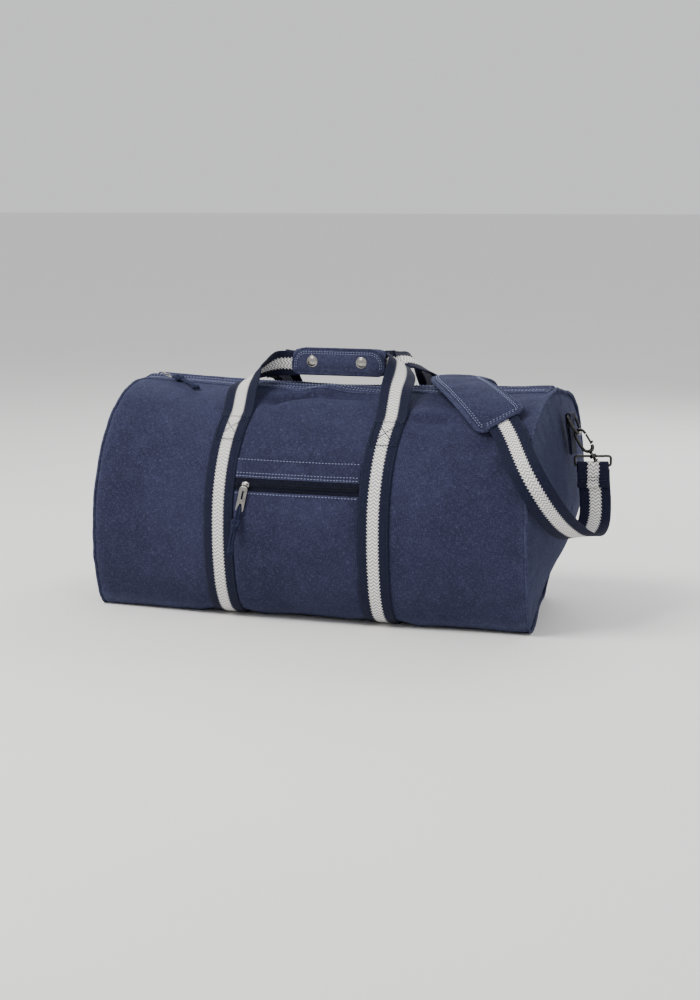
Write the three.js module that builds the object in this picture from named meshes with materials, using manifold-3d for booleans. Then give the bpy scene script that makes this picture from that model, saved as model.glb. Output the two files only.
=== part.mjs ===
// Weekender bag: a stuffed canvas holdall with a zip along its crest, a zip pocket between two webbing
// bands, twin carry handles wrapped in one grip, and a clip-on shoulder strap with a sliding pad.
// Millimetres, +Z up. The origin is the centre of the base's underside, +X runs along the bag to the
// right as seen from the front, and the front faces -Y.
import * as THREE from "three";
import { mergeVertices } from "three/addons/utils/BufferGeometryUtils.js";
import Module from "manifold-3d";

// ---- driving dimensions ----
const GAP = 0.3; // clearance between pieces that touch
const HALF_LENGTH = 284; // centre to the end seam
const SHELL = 3; // canvas with its padding
const BULGE = 24; // how far an end panel stands out at its middle
const BASE_HALF_DEPTH = 98;
const BASE_THICK = 5.8;
const CREST_Z = 287;
const MOUTH_HALF_WIDTH = 8; // centre to the edge of the canvas beside the main zip

const WEB_X = 102; // centre of each webbing band
const WEB_WIDTH = 40;
const WEB_THICK = 2.5;
const WEB_TOP_Z = 250; // where the stitching stops and the handles run free

const POCKET_HALF = WEB_X - WEB_WIDTH / 2 - 0.6;
const POCKET_TOP_Z = 201;
const POCKET_FACING_Z = 181;
const POCKET_ZIP_Z = 172;
const POCKET_PANEL_Z = 163;
const POCKET_ZIP_Y = -153.7; // back of the pocket zip's tape at its middle
const POCKET_LEAN = 0.2; // slope of the front there
const POCKET_SLIDER_X = -66;
const POCKET_DEPTH = 6.4; // room between the pocket panel and the front

const ZIP_FROM = -268; // main zip, left end
const ZIP_TO = 272; // main zip, right end
const ZIP_TAPE_Z = 280.2; // underside of the main zip's tape
const ZIP_TAPE = 1.6;
const COIL_HALF = 3.2;
const COIL_TOP = ZIP_TAPE_Z + 5.2;
const SLIDER_X = -250;

const GRIP_X = 3; // middle of the grip
const GRIP_HALF = 63;
const GRIP_LOW = 297;
const GRIP_HIGH = 332;
const GRIP_HALF_THICK = 10;
const SNAPS = [-35, 32]; // along the grip from its middle
const SNAP_Z = 315;

const RING_EYE = new THREE.Vector3(305, 0, 257); // right D-ring's pin line, which runs along Y
const RING_DROP = 26;
const RING_WIRE = 1.75;
// How each end's hardware hangs, in degrees: ring and hook outwards from straight down, and how far the
// strap loop is turned about Z. The strap draws the right end's outwards and lies flat along the left end.
const RIGHT_HANG = { ring: 28, hook: 33, loop: 20 };
const LEFT_HANG = { ring: 34, hook: 8, loop: 90 };

const STRAP_THICK = 2.4;
const PAD_WIDTH = 64;
const PAD_THICK = 9;
const ADJUSTER = new THREE.Vector3(-205, 168, 80);

const deg = THREE.MathUtils.degToRad;
const V = (x, y, z) => new THREE.Vector3(x, y, z);

// ---- materials ----
const finish = (color, roughness, metalness) =>
  new THREE.MeshStandardMaterial({ color, roughness, metalness });
const CANVAS = [0x2c3558, 0.95, 0];
const WEBBING = [0x1c2240, 0.85, 0];
const STRIPE = [0xb9b7b2, 0.85, 0];
const ZIP = [0x161a2c, 0.7, 0];
const SILVER = [0x9b978d, 0.35, 1];
const GUNMETAL = [0x3a3834, 0.35, 1];
const BOARD = [0x4a3d30, 0.9, 0];

const bag = new THREE.Group();

function add(name, geometry, colours, parent = bag) {
  const mesh = new THREE.Mesh(geometry, finish(...colours));
  mesh.name = name;
  parent.add(mesh);
  return mesh;
}

// ---- geometry helpers ----
// Closed solid through equal rings of points, with its two ends capped.
function loft(rings) {
  const n = rings[0].length;
  const points = rings.flat();
  const faces = [];
  for (let i = 0; i < rings.length - 1; i++) {
    const a = i * n;
    const b = a + n;
    for (let j = 0; j < n; j++) {
      const k = (j + 1) % n;
      faces.push([a + j, b + j, b + k], [a + j, b + k, a + k]);
    }
  }
  for (const [start, flip] of [[0, false], [(rings.length - 1) * n, true]]) {
    const centre = V(0, 0, 0);
    for (let j = 0; j < n; j++) centre.addScaledVector(points[start + j], 1 / n);
    points.push(centre);
    for (let j = 0; j < n; j++) {
      const edge = [start + j, start + ((j + 1) % n)];
      faces.push([...(flip ? edge.reverse() : edge), points.length - 1]);
    }
  }
  let volume = 0;
  for (const [a, b, c] of faces) {
    volume += points[a].dot(points[b].clone().cross(points[c]));
  }
  const turned = volume > 0 ? faces : faces.map(([a, b, c]) => [a, c, b]);
  const geometry = new THREE.BufferGeometry().setFromPoints(points);
  geometry.setIndex(turned.flat());
  geometry.computeVertexNormals();
  return geometry;
}

// A flat outline pushed along an axis: prismX takes (y, z) outlines, prismY (x, z) and prismZ (x, y).
const prism = (shape, depth) =>
  new THREE.ExtrudeGeometry(shape, { depth, bevelEnabled: false, curveSegments: 8 });

function prismX(shape, from, to) {
  const turn = new THREE.Matrix4().makeBasis(V(0, 1, 0), V(0, 0, 1), V(1, 0, 0));
  return prism(shape, to - from).applyMatrix4(turn).translate(from, 0, 0);
}

function prismY(shape, from, to) {
  const turn = new THREE.Matrix4().makeBasis(V(1, 0, 0), V(0, 0, 1), V(0, -1, 0));
  return prism(shape, to - from).applyMatrix4(turn).translate(0, to, 0);
}

const prismZ = (shape, from, to) => prism(shape, to - from).translate(0, 0, from);

const outline = (points) => new THREE.Shape(points.map(([u, v]) => new THREE.Vector2(u, v)));

function roundedRect(u0, v0, u1, v1, r, Kind = THREE.Shape) {
  const shape = new Kind();
  shape.moveTo(u0 + r, v0);
  shape.lineTo(u1 - r, v0);
  shape.absarc(u1 - r, v0 + r, r, -Math.PI / 2, 0, false);
  shape.lineTo(u1, v1 - r);
  shape.absarc(u1 - r, v1 - r, r, 0, Math.PI / 2, false);
  shape.lineTo(u0 + r, v1);
  shape.absarc(u0 + r, v1 - r, r, Math.PI / 2, Math.PI, false);
  shape.lineTo(u0, v0 + r);
  shape.absarc(u0 + r, v0 + r, r, Math.PI, 1.5 * Math.PI, false);
  return shape;
}

function hole(shape, u, v, r) {
  const path = new THREE.Path();
  path.absarc(u, v, r, 0, 2 * Math.PI, true);
  shape.holes.push(path);
  return shape;
}

const rod = (r, length, sides = 16) =>
  new THREE.CylinderGeometry(r, r, length, sides).rotateX(Math.PI / 2);

// Closed wire through the points of a loop.
const wireLoop = (points, r, steps, kind = "centripetal") =>
  new THREE.TubeGeometry(new THREE.CatmullRomCurve3(points, true, kind), steps, r, 8, true);

const wasm = await Module();
wasm.setup();

function solidOf(geometry) {
  const bare = geometry.clone();
  bare.deleteAttribute("normal");
  bare.deleteAttribute("uv");
  const merged = mergeVertices(bare, 1e-3);
  return new wasm.Manifold(
    new wasm.Mesh({
      numProp: 3,
      vertProperties: merged.attributes.position.array,
      triVerts: new Uint32Array(merged.index.array),
    }),
  );
}

function geometryOf(solid) {
  const mesh = solid.getMesh();
  const geometry = new THREE.BufferGeometry();
  geometry.setAttribute("position", new THREE.BufferAttribute(mesh.vertProperties, 3));
  geometry.setIndex(new THREE.BufferAttribute(mesh.triVerts, 1));
  geometry.computeVertexNormals();
  return geometry;
}

const join = (...parts) => geometryOf(parts.map(solidOf).reduce((a, b) => a.add(b)));
const cut = (from, tool) => geometryOf(solidOf(from).subtract(solidOf(tool)));

// ---- the body's cross-section ----
// Half of the section as (distance from the middle, height), from the base's edge up to the crest.
const HALF_SECTION = [
  [BASE_HALF_DEPTH, BASE_THICK - SHELL], [120, 6.5], [137, 22], [149, 50], [156, 85], [158, 120],
  [154.5, 162], [146, 198], [131, 230], [113, 251], [88, 268.5], [54, 280.5], [20, 286], [0, CREST_Z],
];
const sectionCurve = new THREE.CatmullRomCurve3(
  HALF_SECTION.map(([y, z]) => V(0, y, z)), false, "centripetal",
);

// Point at fraction u of the half section, moved `out` along its outward normal, as [y, z] on a side.
function onSection(u, out, side) {
  const p = sectionCurve.getPointAt(u);
  const t = sectionCurve.getTangentAt(u);
  return [side * (p.y + out * t.z), p.z - out * t.y];
}

// Fraction of the half section at which `test` first holds.
function fractionWhere(test) {
  const steps = 2000;
  for (let i = 0; i <= steps; i++) {
    if (test(sectionCurve.getPointAt(i / steps))) return i / steps;
  }
  return 1;
}
const atHeight = (z) => fractionWhere((p) => p.z >= z);
const MOUTH_U = fractionWhere((p) => p.y <= MOUTH_HALF_WIDTH);

// Strip of the section between two fractions; inner and outer give its two faces' offsets. Every strip
// bends at the same fractions, so that layers lie on each other without touching.
const SECTION_STEPS = 26;
function band(side, u0, u1, inner, outer) {
  const offset = (value) => (typeof value === "number" ? () => value : value);
  const grid = Array.from({ length: SECTION_STEPS }, (_, i) => i / SECTION_STEPS);
  const us = [u0, ...grid.filter((u) => u > u0 + 0.004 && u < u1 - 0.004), u1];
  const face = us.map((u) => onSection(u, offset(outer)(u), side));
  const back = us.reverse().map((u) => onSection(u, offset(inner)(u), side));
  return outline([...face, ...back]);
}

const sides = [["front", -1], ["rear", 1]];
const ends = [["left", -1], ["right", 1]];

// ---- canvas body ----
function bodyPanels() {
  for (const [name, side] of sides) {
    add(`${name}_panel`, prismX(band(side, 0, MOUTH_U, -SHELL, 0), -HALF_LENGTH, HALF_LENGTH), CANVAS);
  }
  const groove = WEB_WIDTH / 2 + GAP;
  const floor = [[-HALF_LENGTH, 0]];
  for (const x of [-WEB_X, WEB_X]) {
    floor.push([x - groove, 0], [x - groove, WEB_THICK + GAP], [x + groove, WEB_THICK + GAP], [x + groove, 0]);
  }
  floor.push([HALF_LENGTH, 0], [HALF_LENGTH, BASE_THICK], [-HALF_LENGTH, BASE_THICK]);
  const reach = BASE_HALF_DEPTH - 2 * GAP;
  add("base_panel", prismY(outline(floor), -reach, reach), CANVAS);
  const board = roundedRect(-228, -84, 228, 84, 12);
  add("base_board", prismZ(board, BASE_THICK + GAP, BASE_THICK + GAP + 2), BOARD);
}

// Bulged end: rings run from the middle of the inner face, round the rim, to the middle outside.
function endPanel(name, side) {
  const steps = 16;
  const half = Array.from({ length: steps + 1 }, (_, i) => onSection(i / steps, 0, 1));
  const closed = [...half, ...half.slice(0, -1).reverse().map(([y, z]) => [-y, z])];
  const middle = 140;
  const ring = (r, out) => {
    const x = HALF_LENGTH + GAP + out + BULGE * (1 - r ** 2.4);
    return closed.map(([y, z]) => V(side * x, r * y, middle + r * (z - middle)));
  };
  const radii = [0.15, 0.45, 0.7, 0.88, 1];
  const rings = [...radii.map((r) => ring(r, 0)), ...radii.reverse().map((r) => ring(r, SHELL))];
  add(name, loft(rings), CANVAS);
}

// ---- webbing bands round the body ----
function webbing() {
  for (const [endName, end] of ends) {
    const x0 = end * WEB_X - WEB_WIDTH / 2;
    for (const [name, side] of sides) {
      const strip = band(side, 0.002, atHeight(WEB_TOP_Z), GAP, GAP + WEB_THICK);
      add(`webbing_${name}_${endName}`, prismX(strip, x0, x0 + WEB_WIDTH), WEBBING);
    }
    const under = new THREE.BoxGeometry(WEB_WIDTH, 2 * (BASE_HALF_DEPTH - 2 * GAP), WEB_THICK);
    add(`webbing_base_${endName}`, under.translate(end * WEB_X, 0, WEB_THICK / 2), WEBBING);
  }
}

// ---- front pocket ----
// The pocket panel leaves the front at its foot and stands off it up to the zip.
const POCKET_FOOT_U = atHeight(30);
const POCKET_MOUTH_U = atHeight(POCKET_PANEL_Z);

const POCKET_FULL_U = [atHeight(72), atHeight(146)];

function pocketStandOff(u) {
  const rise = THREE.MathUtils.smoothstep(u, POCKET_FOOT_U, POCKET_FULL_U[0]);
  const fall = THREE.MathUtils.smoothstep(u, POCKET_FULL_U[1], POCKET_MOUTH_U);
  return GAP + POCKET_DEPTH * rise * (1 - 0.75 * fall);
}

function pocket() {
  const thick = 1.5;
  const panel = band(-1, POCKET_FOOT_U, POCKET_MOUTH_U, pocketStandOff, (u) => pocketStandOff(u) + thick);
  add("pocket_panel", prismX(panel, -POCKET_HALF, POCKET_HALF), CANVAS);
  const facing = band(-1, atHeight(POCKET_FACING_Z), atHeight(POCKET_TOP_Z), GAP, GAP + thick);
  add("pocket_facing", prismX(facing, -POCKET_HALF, POCKET_HALF), CANVAS);
  // Zip halves: a thin tape with half of the coil along its free edge.
  const half = (tapeFrom, tapeTo, coilFrom, coilTo) => {
    const y = (z, out) => POCKET_ZIP_Y + POCKET_LEAN * (z - POCKET_ZIP_Z) - out;
    return outline([
      [y(tapeFrom, 0), tapeFrom], [y(tapeTo, 0), tapeTo], [y(tapeTo, 1), tapeTo],
      [y(coilTo, 1), coilTo], [y(coilTo, 3), coilTo], [y(coilFrom, 3), coilFrom],
      [y(coilFrom, 1), coilFrom], [y(tapeFrom, 1), tapeFrom],
    ].filter((p, i, all) => i === 0 || p[0] !== all[i - 1][0] || p[1] !== all[i - 1][1]));
  };
  const low = half(POCKET_PANEL_Z + 0.8, POCKET_ZIP_Z - 0.2, POCKET_ZIP_Z - 2.4, POCKET_ZIP_Z - 0.2);
  const high = half(POCKET_ZIP_Z + 0.2, POCKET_FACING_Z - 0.6, POCKET_ZIP_Z + 0.2, POCKET_ZIP_Z + 2.4);
  add("pocket_zip_lower", prismX(low, -POCKET_HALF, POCKET_HALF), ZIP);
  add("pocket_zip_upper", prismX(high, -POCKET_HALF, POCKET_HALF), ZIP);
}

// ---- main zip ----
function mainZip() {
  for (const [name, side] of sides) {
    const half = outline([
      [side * 0.2, ZIP_TAPE_Z], [side * 24, ZIP_TAPE_Z], [side * 24, ZIP_TAPE_Z + ZIP_TAPE],
      [side * COIL_HALF, ZIP_TAPE_Z + ZIP_TAPE], [side * COIL_HALF, COIL_TOP], [side * 0.2, COIL_TOP],
    ]);
    add(`main_zip_${name}`, prismX(half, ZIP_FROM, ZIP_TO), ZIP);
  }
  for (const [name, end] of ends) {
    const inner = end < 0 ? ZIP_FROM : ZIP_TO;
    const outer = end * HALF_LENGTH;
    const tab = roundedRect(-7, ZIP_TAPE_Z + 2, 7, CREST_Z + 0.5, 2);
    const from = Math.min(inner + end * GAP, outer);
    add(`zip_end_tab_${name}`, prismX(tab, from, Math.max(inner + end * GAP, outer)), CANVAS);
  }
}

// ---- zip sliders and pulls ----
// Slider in its own frame: the coil runs along X under it, +Z faces out and the bail's bar is turned.
function slider(name, turn, coilHalf, coilHeight, size) {
  const group = new THREE.Group();
  const half = size.width / 2;
  const top = coilHeight + size.roof;
  const channel = outline([
    [-half, GAP], [-coilHalf - 0.4, GAP], [-coilHalf - 0.4, coilHeight + GAP],
    [coilHalf + 0.4, coilHeight + GAP], [coilHalf + 0.4, GAP], [half, GAP], [half, top], [-half, top],
  ]);
  const body = prismX(channel, -size.length / 2, size.length / 2);
  const posts = [-1, 1].map((s) =>
    new THREE.BoxGeometry(1.6, 1.8, size.bail).translate(s * size.post, 0, top + size.bail / 2 - 0.2),
  );
  const bar = rod(0.9, 2 * size.post + 1.6, 10).rotateY(Math.PI / 2).translate(0, 0, top + size.bail - 0.6);
  const bail = [...posts, bar].map((g) => g.rotateZ(turn));
  add(name, join(body, ...bail), SILVER, group);
  bag.add(group);
  return { group, pin: top + size.bail - 0.6 };
}

// Slotted pull tab, hanging along -Z from its eye; the eye's bore runs along X round the bail's bar.
function pullTab(name, parent, post) {
  const eye = hole(new THREE.Shape().absarc(0, 0, 2.1, 0, 2 * Math.PI, false), 0, 0, 1.2);
  const knuckle = prismX(eye, -post + 1.2, post - 1.2);
  const plate = roundedRect(-5, -34, 5, -3.4, 2.4);
  plate.holes.push(roundedRect(-2.2, -31.6, 2.2, -24, 1.6, THREE.Path));
  plate.holes.push(roundedRect(-1.6, -20, 1.6, -8, 1.2, THREE.Path));
  const neck = new THREE.BoxGeometry(2 * post - 2.6, 1.4, 3).translate(0, 0, -3.2);
  add(name, join(knuckle, neck, prismY(plate, -0.8, 0.8)), SILVER, parent);
}

// Two cord strands, their knot and two tails, as one soft solid along a gently bent line.
function pullCord(name, parent, line) {
  const curve = new THREE.CatmullRomCurve3(line);
  const sections = [
    [0, 3, 1.6], [0.22, 3.8, 2.2], [0.3, 5.8, 4.6], [0.42, 5.8, 4.6], [0.5, 4.4, 2.3], [1, 4.6, 2.2],
  ];
  const rings = sections.map(([u, wide, deep]) => {
    const p = curve.getPointAt(u);
    return Array.from({ length: 10 }, (_, i) => {
      const a = (i * Math.PI) / 5;
      return V(p.x + wide * Math.cos(a), p.y + deep * Math.sin(a), p.z);
    });
  });
  add(name, loft(rings), WEBBING, parent);
}

// Pull cords' lines in their tab's frame: one lies on the front slope, the other hangs over the pocket.
const MAIN_PULL_LINE = [
  V(0, -0.4, -34.4), V(-0.5, -2.2, -50), V(0, -1.2, -66), V(1, 0.6, -84), V(1.5, 4.0, -104),
];
const POCKET_PULL_LINE = [V(0, -0.5, -34.4), V(0, -2.6, -48), V(1.5, -2, -62), V(3, 1.5, -84)];

// The main pull is turned about Z and laid almost flat.
const MAIN_PULL_TURN = 50;
const MAIN_PULL_LIFT = 86;

function zipPulls() {
  const big = { length: 14, width: 11.5, roof: 2.4, bail: 4.2, post: 3.4 };
  const main = slider("main_zip_slider", deg(MAIN_PULL_TURN), COIL_HALF, COIL_TOP - ZIP_TAPE_Z - ZIP_TAPE, big);
  main.group.position.set(SLIDER_X, 0, ZIP_TAPE_Z + ZIP_TAPE);
  const pull = new THREE.Group();
  pull.position.set(0, 0, main.pin);
  pull.rotation.set(deg(-MAIN_PULL_LIFT), 0, deg(MAIN_PULL_TURN), "ZYX");
  main.group.add(pull);
  pullTab("main_pull_tab", pull, big.post);
  pullCord("main_pull_cord", pull, MAIN_PULL_LINE);

  const small = { length: 10, width: 8.4, roof: 1.6, bail: 3.8, post: 3.2 };
  const front = slider("pocket_zip_slider", 0, 2.4, 2, small);
  front.group.position.set(POCKET_SLIDER_X, POCKET_ZIP_Y - 1.3, POCKET_ZIP_Z);
  front.group.rotation.x = Math.PI / 2 - Math.atan(POCKET_LEAN);
  const hang = new THREE.Group();
  hang.position.copy(V(0, 0, front.pin).applyEuler(front.group.rotation)).add(front.group.position);
  hang.rotation.set(deg(-10), deg(9), 0);
  bag.add(hang);
  pullTab("pocket_pull_tab", hang, small.post);
  pullCord("pocket_pull_cord", hang, POCKET_PULL_LINE);
}

// ---- ribbons: webbing laid along a route, with the way its face looks at each point ----
function ribbon(route, width, thick, steps, lift = 0, from = 0) {
  const line = new THREE.CatmullRomCurve3(route.map(([p]) => V(...p)), false, "centripetal");
  const facing = new THREE.CatmullRomCurve3(route.map(([, n]) => V(...n)), false, "centripetal");
  const bevel = thick / 3;
  const half = [width / 2, thick / 2];
  const corners = [
    [half[0], half[1] - bevel], [half[0] - bevel, half[1]], [-half[0] + bevel, half[1]],
    [-half[0], half[1] - bevel], [-half[0], -half[1] + bevel], [-half[0] + bevel, -half[1]],
    [half[0] - bevel, -half[1]], [half[0], -half[1] + bevel],
  ];
  const rings = Array.from({ length: steps + 1 }, (_, i) => {
    const t = from + ((1 - from) * i) / steps;
    const along = line.getTangent(t);
    const out = facing.getPoint(t);
    const across = out.cross(along).normalize();
    const normal = along.clone().cross(across).normalize();
    const p = line.getPoint(t).addScaledVector(normal, lift);
    return corners.map(([w, h]) => p.clone().addScaledVector(across, w).addScaledVector(normal, h));
  });
  return loft(rings);
}

// ---- carry handles: four free legs rise from the stitched bands and turn into the grip ----
const LEG_ROUTES = {
  // slack: folded over low down, then arched into the grip
  left: [
    [[102, 115.5, 253.5], [0, 0.68, 0.73]], [[102.5, 97, 269], [0, 0.66, 0.75]],
    [[104, 76, 283], [0.05, 0.7, 0.7]], [[105, 58, 292], [0.35, 0.72, 0.6]],
    [[102.5, 42, 298.5], [0.75, 0.4, 0.55]], [[97, 29, 304], [0.7, -0.2, 0.7]],
    [[90, 18.5, 308.5], [0.4, -0.7, 0.55]], [[83, 11, 311], [0.15, -0.95, 0.25]],
    [[76, 7, 311.2], [0.05, -1, 0.08]], [[68.6, 5, 311], [0, -1, 0.02]],
  ],
  // taut
  right: [
    [[102, 115.5, 253.5], [0, 0.68, 0.73]], [[102, 95, 270], [0, 0.65, 0.76]],
    [[101, 71, 288], [0.1, 0.75, 0.65]], [[98, 47, 304], [0.5, 0.75, 0.45]],
    [[91.5, 27, 315], [0.75, 0.3, 0.6]], [[83, 13.5, 317.5], [0.4, -0.4, 0.8]],
    [[76, 7, 315.2], [0.1, -0.95, 0.12]], [[68.6, 5, 314.6], [0, -1, 0.02]],
  ],
};

function handles() {
  for (const [name, side] of sides) {
    for (const [endName, end] of ends) {
      const shift = end < 0 ? -2 * GRIP_X : 0;
      const points = LEG_ROUTES[endName];
      const route = points.map(([[x, y, z], [nx, ny, nz]], i) => {
        const lean = (shift * i) / (points.length - 1);
        return [[end * (x + lean), side * y, z], [end * nx, side * ny, nz]];
      });
      add(`handle_leg_${name}_${endName}`, ribbon(route, 32, WEB_THICK, 27), WEBBING);
    }
  }
}

const grip = new THREE.Group();
grip.position.set(GRIP_X, 0, 0);
bag.add(grip);

function gripParts() {
  const middle = (GRIP_LOW + GRIP_HIGH) / 2;
  const wall = 2.2;
  const sleeve = roundedRect(-GRIP_HALF_THICK, GRIP_LOW, GRIP_HALF_THICK, GRIP_HIGH, 8);
  const inside = roundedRect(
    -GRIP_HALF_THICK + wall, GRIP_LOW + wall, GRIP_HALF_THICK - wall, GRIP_HIGH - wall, 6, THREE.Path,
  );
  sleeve.holes.push(inside);
  add("grip_wrap", prismX(sleeve, -GRIP_HALF, GRIP_HALF), CANVAS, grip);
  for (const [name, side] of sides) {
    const core = new THREE.BoxGeometry(2 * GRIP_HALF - 2, 5, 26).translate(0, side * 3, middle);
    add(`handle_core_${name}`, core, STRIPE, grip);
  }
  // The flap hangs on the grip's lower front edge and closes upwards over the snaps.
  const skin = 2.2;
  const back = -GRIP_HALF_THICK - 1.4;
  const flap = roundedRect(-GRIP_HALF, GRIP_LOW + 2, GRIP_HALF, GRIP_HIGH - 0.5, 13);
  for (const x of SNAPS) hole(flap, x, SNAP_Z, 3.2);
  add("grip_flap", prismY(flap, back - skin, back), CANVAS, grip);
  for (const [i, name] of ["left", "right"].entries()) {
    const stud = [[0, 0], [4.6, 0], [4.6, 0.8], [2.2, 0.8], [1.7, 3.4], [0, 3.4]];
    const cap = [[2.8, 0], [7, 0], [6.6, 1.5], [4.6, 2.8], [0, 3.3], [0, 2.2], [2.8, 2.2]];
    add(`snap_stud_${name}`, turnedOut(stud, SNAPS[i], -GRIP_HALF_THICK - GAP), SILVER, grip);
    add(`snap_cap_${name}`, turnedOut(cap, SNAPS[i], back - skin - GAP), SILVER, grip);
  }
}

// Lathe profile (radius, height) stood on the grip's front with its height pointing to -Y.
function turnedOut(profile, x, y) {
  const points = profile.map(([r, h]) => new THREE.Vector2(r, h));
  if (profile[0][0] > 0) points.push(points[0].clone());
  return new THREE.LatheGeometry(points, 20).rotateX(Math.PI).translate(x, y, SNAP_Z);
}

// ---- D-rings, snap hooks and strap loops at the two ends ----
function ringTab() {
  const eye = RING_EYE;
  const outer = 4.2;
  const foot = [311.2, 212];
  const lean = Math.atan2(eye.z - foot[1], foot[0] - eye.x);
  const shape = new THREE.Shape();
  shape.moveTo(foot[0] - 1.2, foot[1]);
  shape.lineTo(foot[0] + 1.4, foot[1]);
  shape.lineTo(eye.x + 2, eye.z - 10);
  shape.absarc(eye.x, eye.z, outer, -Math.PI / 2 + 0.5, Math.PI + lean - Math.PI / 2 + 0.25, false);
  hole(shape, eye.x, eye.z, RING_WIRE + 0.55);
  return prismY(shape, -12.5, 12.5);
}

function endHardware(name, turned, tilt) {
  const group = new THREE.Group();
  group.rotation.z = turned ? Math.PI : 0;
  bag.add(group);
  add(`d_ring_tab_${name}`, ringTab(), WEBBING, group);

  const ring = new THREE.Group();
  ring.position.copy(RING_EYE);
  ring.rotation.y = deg(-tilt.ring);
  group.add(ring);
  const bow = [
    [-14, 0], [-7, 0], [0, 0], [7, 0], [14, 0], [16.5, -3.5], [15.5, -13], [10, -22],
    [0, -RING_DROP], [-10, -22], [-15.5, -13], [-16.5, -3.5],
  ];
  add(`d_ring_${name}`, wireLoop(bow.map(([y, z]) => V(0, y, z)), RING_WIRE, 44), GUNMETAL, ring);

  // Hook frame: origin on the ring's wire, -Z down the hook, +X away from the bag.
  const hook = new THREE.Group();
  const drop = V(Math.sin(deg(tilt.ring)), 0, -Math.cos(deg(tilt.ring))).multiplyScalar(RING_DROP);
  hook.position.copy(RING_EYE).add(drop);
  hook.rotation.y = deg(-tilt.hook);
  group.add(hook);
  add(`hook_${name}`, hookBody(), GUNMETAL, hook);
  const gate = roundedRect(5.1, -18.6, 7.7, -4.4, 1.2);
  add(`hook_gate_${name}`, prismY(gate, -1.6, 1.6), GUNMETAL, hook);
  add(`strap_loop_${name}`, strapLoop(tilt), GUNMETAL, hook);
}

function hookBody() {
  const body = new THREE.Shape().absellipse(0, -10, 8.2, 16.4, 0, 2 * Math.PI, false);
  body.holes.push(roundedRect(-4.4, -22.4, 4.4, 2.4, 4.3));
  const frame = prismY(body, -1.9, 1.9);
  const mouth = new THREE.BoxGeometry(8, 5, 15).translate(7.4, 0, -11.5);
  const neck = rod(1.9, 14).translate(0, 0, -32);
  const head = rod(3.4, 2).translate(0, 0, -39);
  return join(cut(frame, mouth), neck, head);
}

// Rectangular loop whose collar turns on the hook's neck; it hangs straight down.
function strapLoop(tilt) {
  const half = WEB_WIDTH / 2 + 2.2;
  const drop = 12;
  const corner = 2;
  const ring = [
    [-half + corner, 0], [0, 0], [half - corner, 0], [half, -corner], [half, -drop + corner],
    [half - corner, -drop], [0, -drop], [-half + corner, -drop], [-half, -drop + corner], [-half, -corner],
  ].map(([x, z]) => V(x, 0, z));
  const wire = wireLoop(ring, 1.6, 60, "catmullrom")
    .rotateZ(deg(tilt.loop)).rotateY(deg(tilt.hook)).translate(0, 0, -32.6);
  const collar = rod(4.4, 4.4).translate(0, 0, -32.6);
  return cut(join(wire, collar), rod(2.3, 16).translate(0, 0, -32.6));
}

// ---- shoulder strap: route points with the way the strap's outer face looks ----
const RIGHT_RUN = [
  [[336, 2.6, 190], [-0.34, 0.94, 0]], [[337, 1.5, 173], [-0.34, 0.94, 0]],
  [[340, -4, 150], [-0.34, 0.92, -0.2]], [[342, -17, 130], [-0.25, 0.65, -0.72]],
  [[341, -44, 117], [0, 0.15, -1]], [[335, -77, 119], [0.2, -0.45, -0.87]],
  [[326, -111, 134], [0.28, -0.8, -0.52]], [[316, -141, 157], [0.2, -0.95, -0.15]],
  [[303.5, -157, 183], [0.08, -0.98, 0.18]], [[290, -157, 206], [0, -0.93, 0.37]],
  [[275, -143, 228], [0, -0.85, 0.53]], [[264, -130, 243], [0, -0.75, 0.66]],
  [[254, -118.6, 253.4], [0, -0.68, 0.73]],
];

const PAD_ROUTE = [
  [[249.5, -113.8, 257.6], [0, -0.66, 0.75]], [[224, -92, 274.5], [0, -0.45, 0.89]],
  [[192, -57, 289.5], [0, -0.25, 0.97]], [[165, -18, 296.5], [0, -0.06, 1]],
  [[156, 20, 296], [0, 0.08, 1]], [[158, 60, 288.5], [0, 0.33, 0.94]],
  [[155, 92, 275.5], [0, 0.45, 0.89]],
];

const LEFT_RUN = [
  [[154.6, 96.5, 272.8], [0, 0.5, 0.86]], [[151, 111, 262], [0, 0.6, 0.8]],
  [[140, 130, 239], [0, 0.75, 0.66]], [[126, 149, 210], [0, 0.9, 0.4]],
  [[104, 162, 179], [0, 0.98, 0.15]], [[74, 168, 149], [0, 1, 0]],
  [[38, 169, 123], [0, 1, 0]], [[-4, 169, 101], [0, 1, 0]], [[-52, 168.5, 87], [0, 1, 0]],
  [[-105, 168, 80.5], [0, 1, 0]], [[-145, 168, 80], [0, 1, 0]], [[-175, 168, 80], [0, 1, 0]],
  [[-205, 168, 80], [0, 1, 0]], [[-235, 168, 80], [0, 1, 0]], [[-264, 168, 80.3], [-0.05, 1, 0]],
  [[-290, 163, 82], [-0.5, 0.86, 0]], [[-307, 147, 85.5], [-0.85, 0.52, 0]],
  [[-316, 120, 90], [-0.97, 0.24, 0]], [[-321, 90, 97], [-1, 0.08, 0]],
  [[-323, 60, 107], [-1, 0, 0]], [[-323.6, 34, 122], [-1, 0, 0]], [[-324, 14, 142], [-1, 0, 0]],
  [[-324, 4, 163], [-1, 0, 0]], [[-324, 0.5, 186], [-1, 0, 0]],
];

// The doubled end runs outside the strap, from the adjuster back to the left loop.
const RETURN_FROM = 12;
const RETURN_LIFT = 5.6;
const STEPS_PER_LEG = 3; // rings between two of its route points

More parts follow.
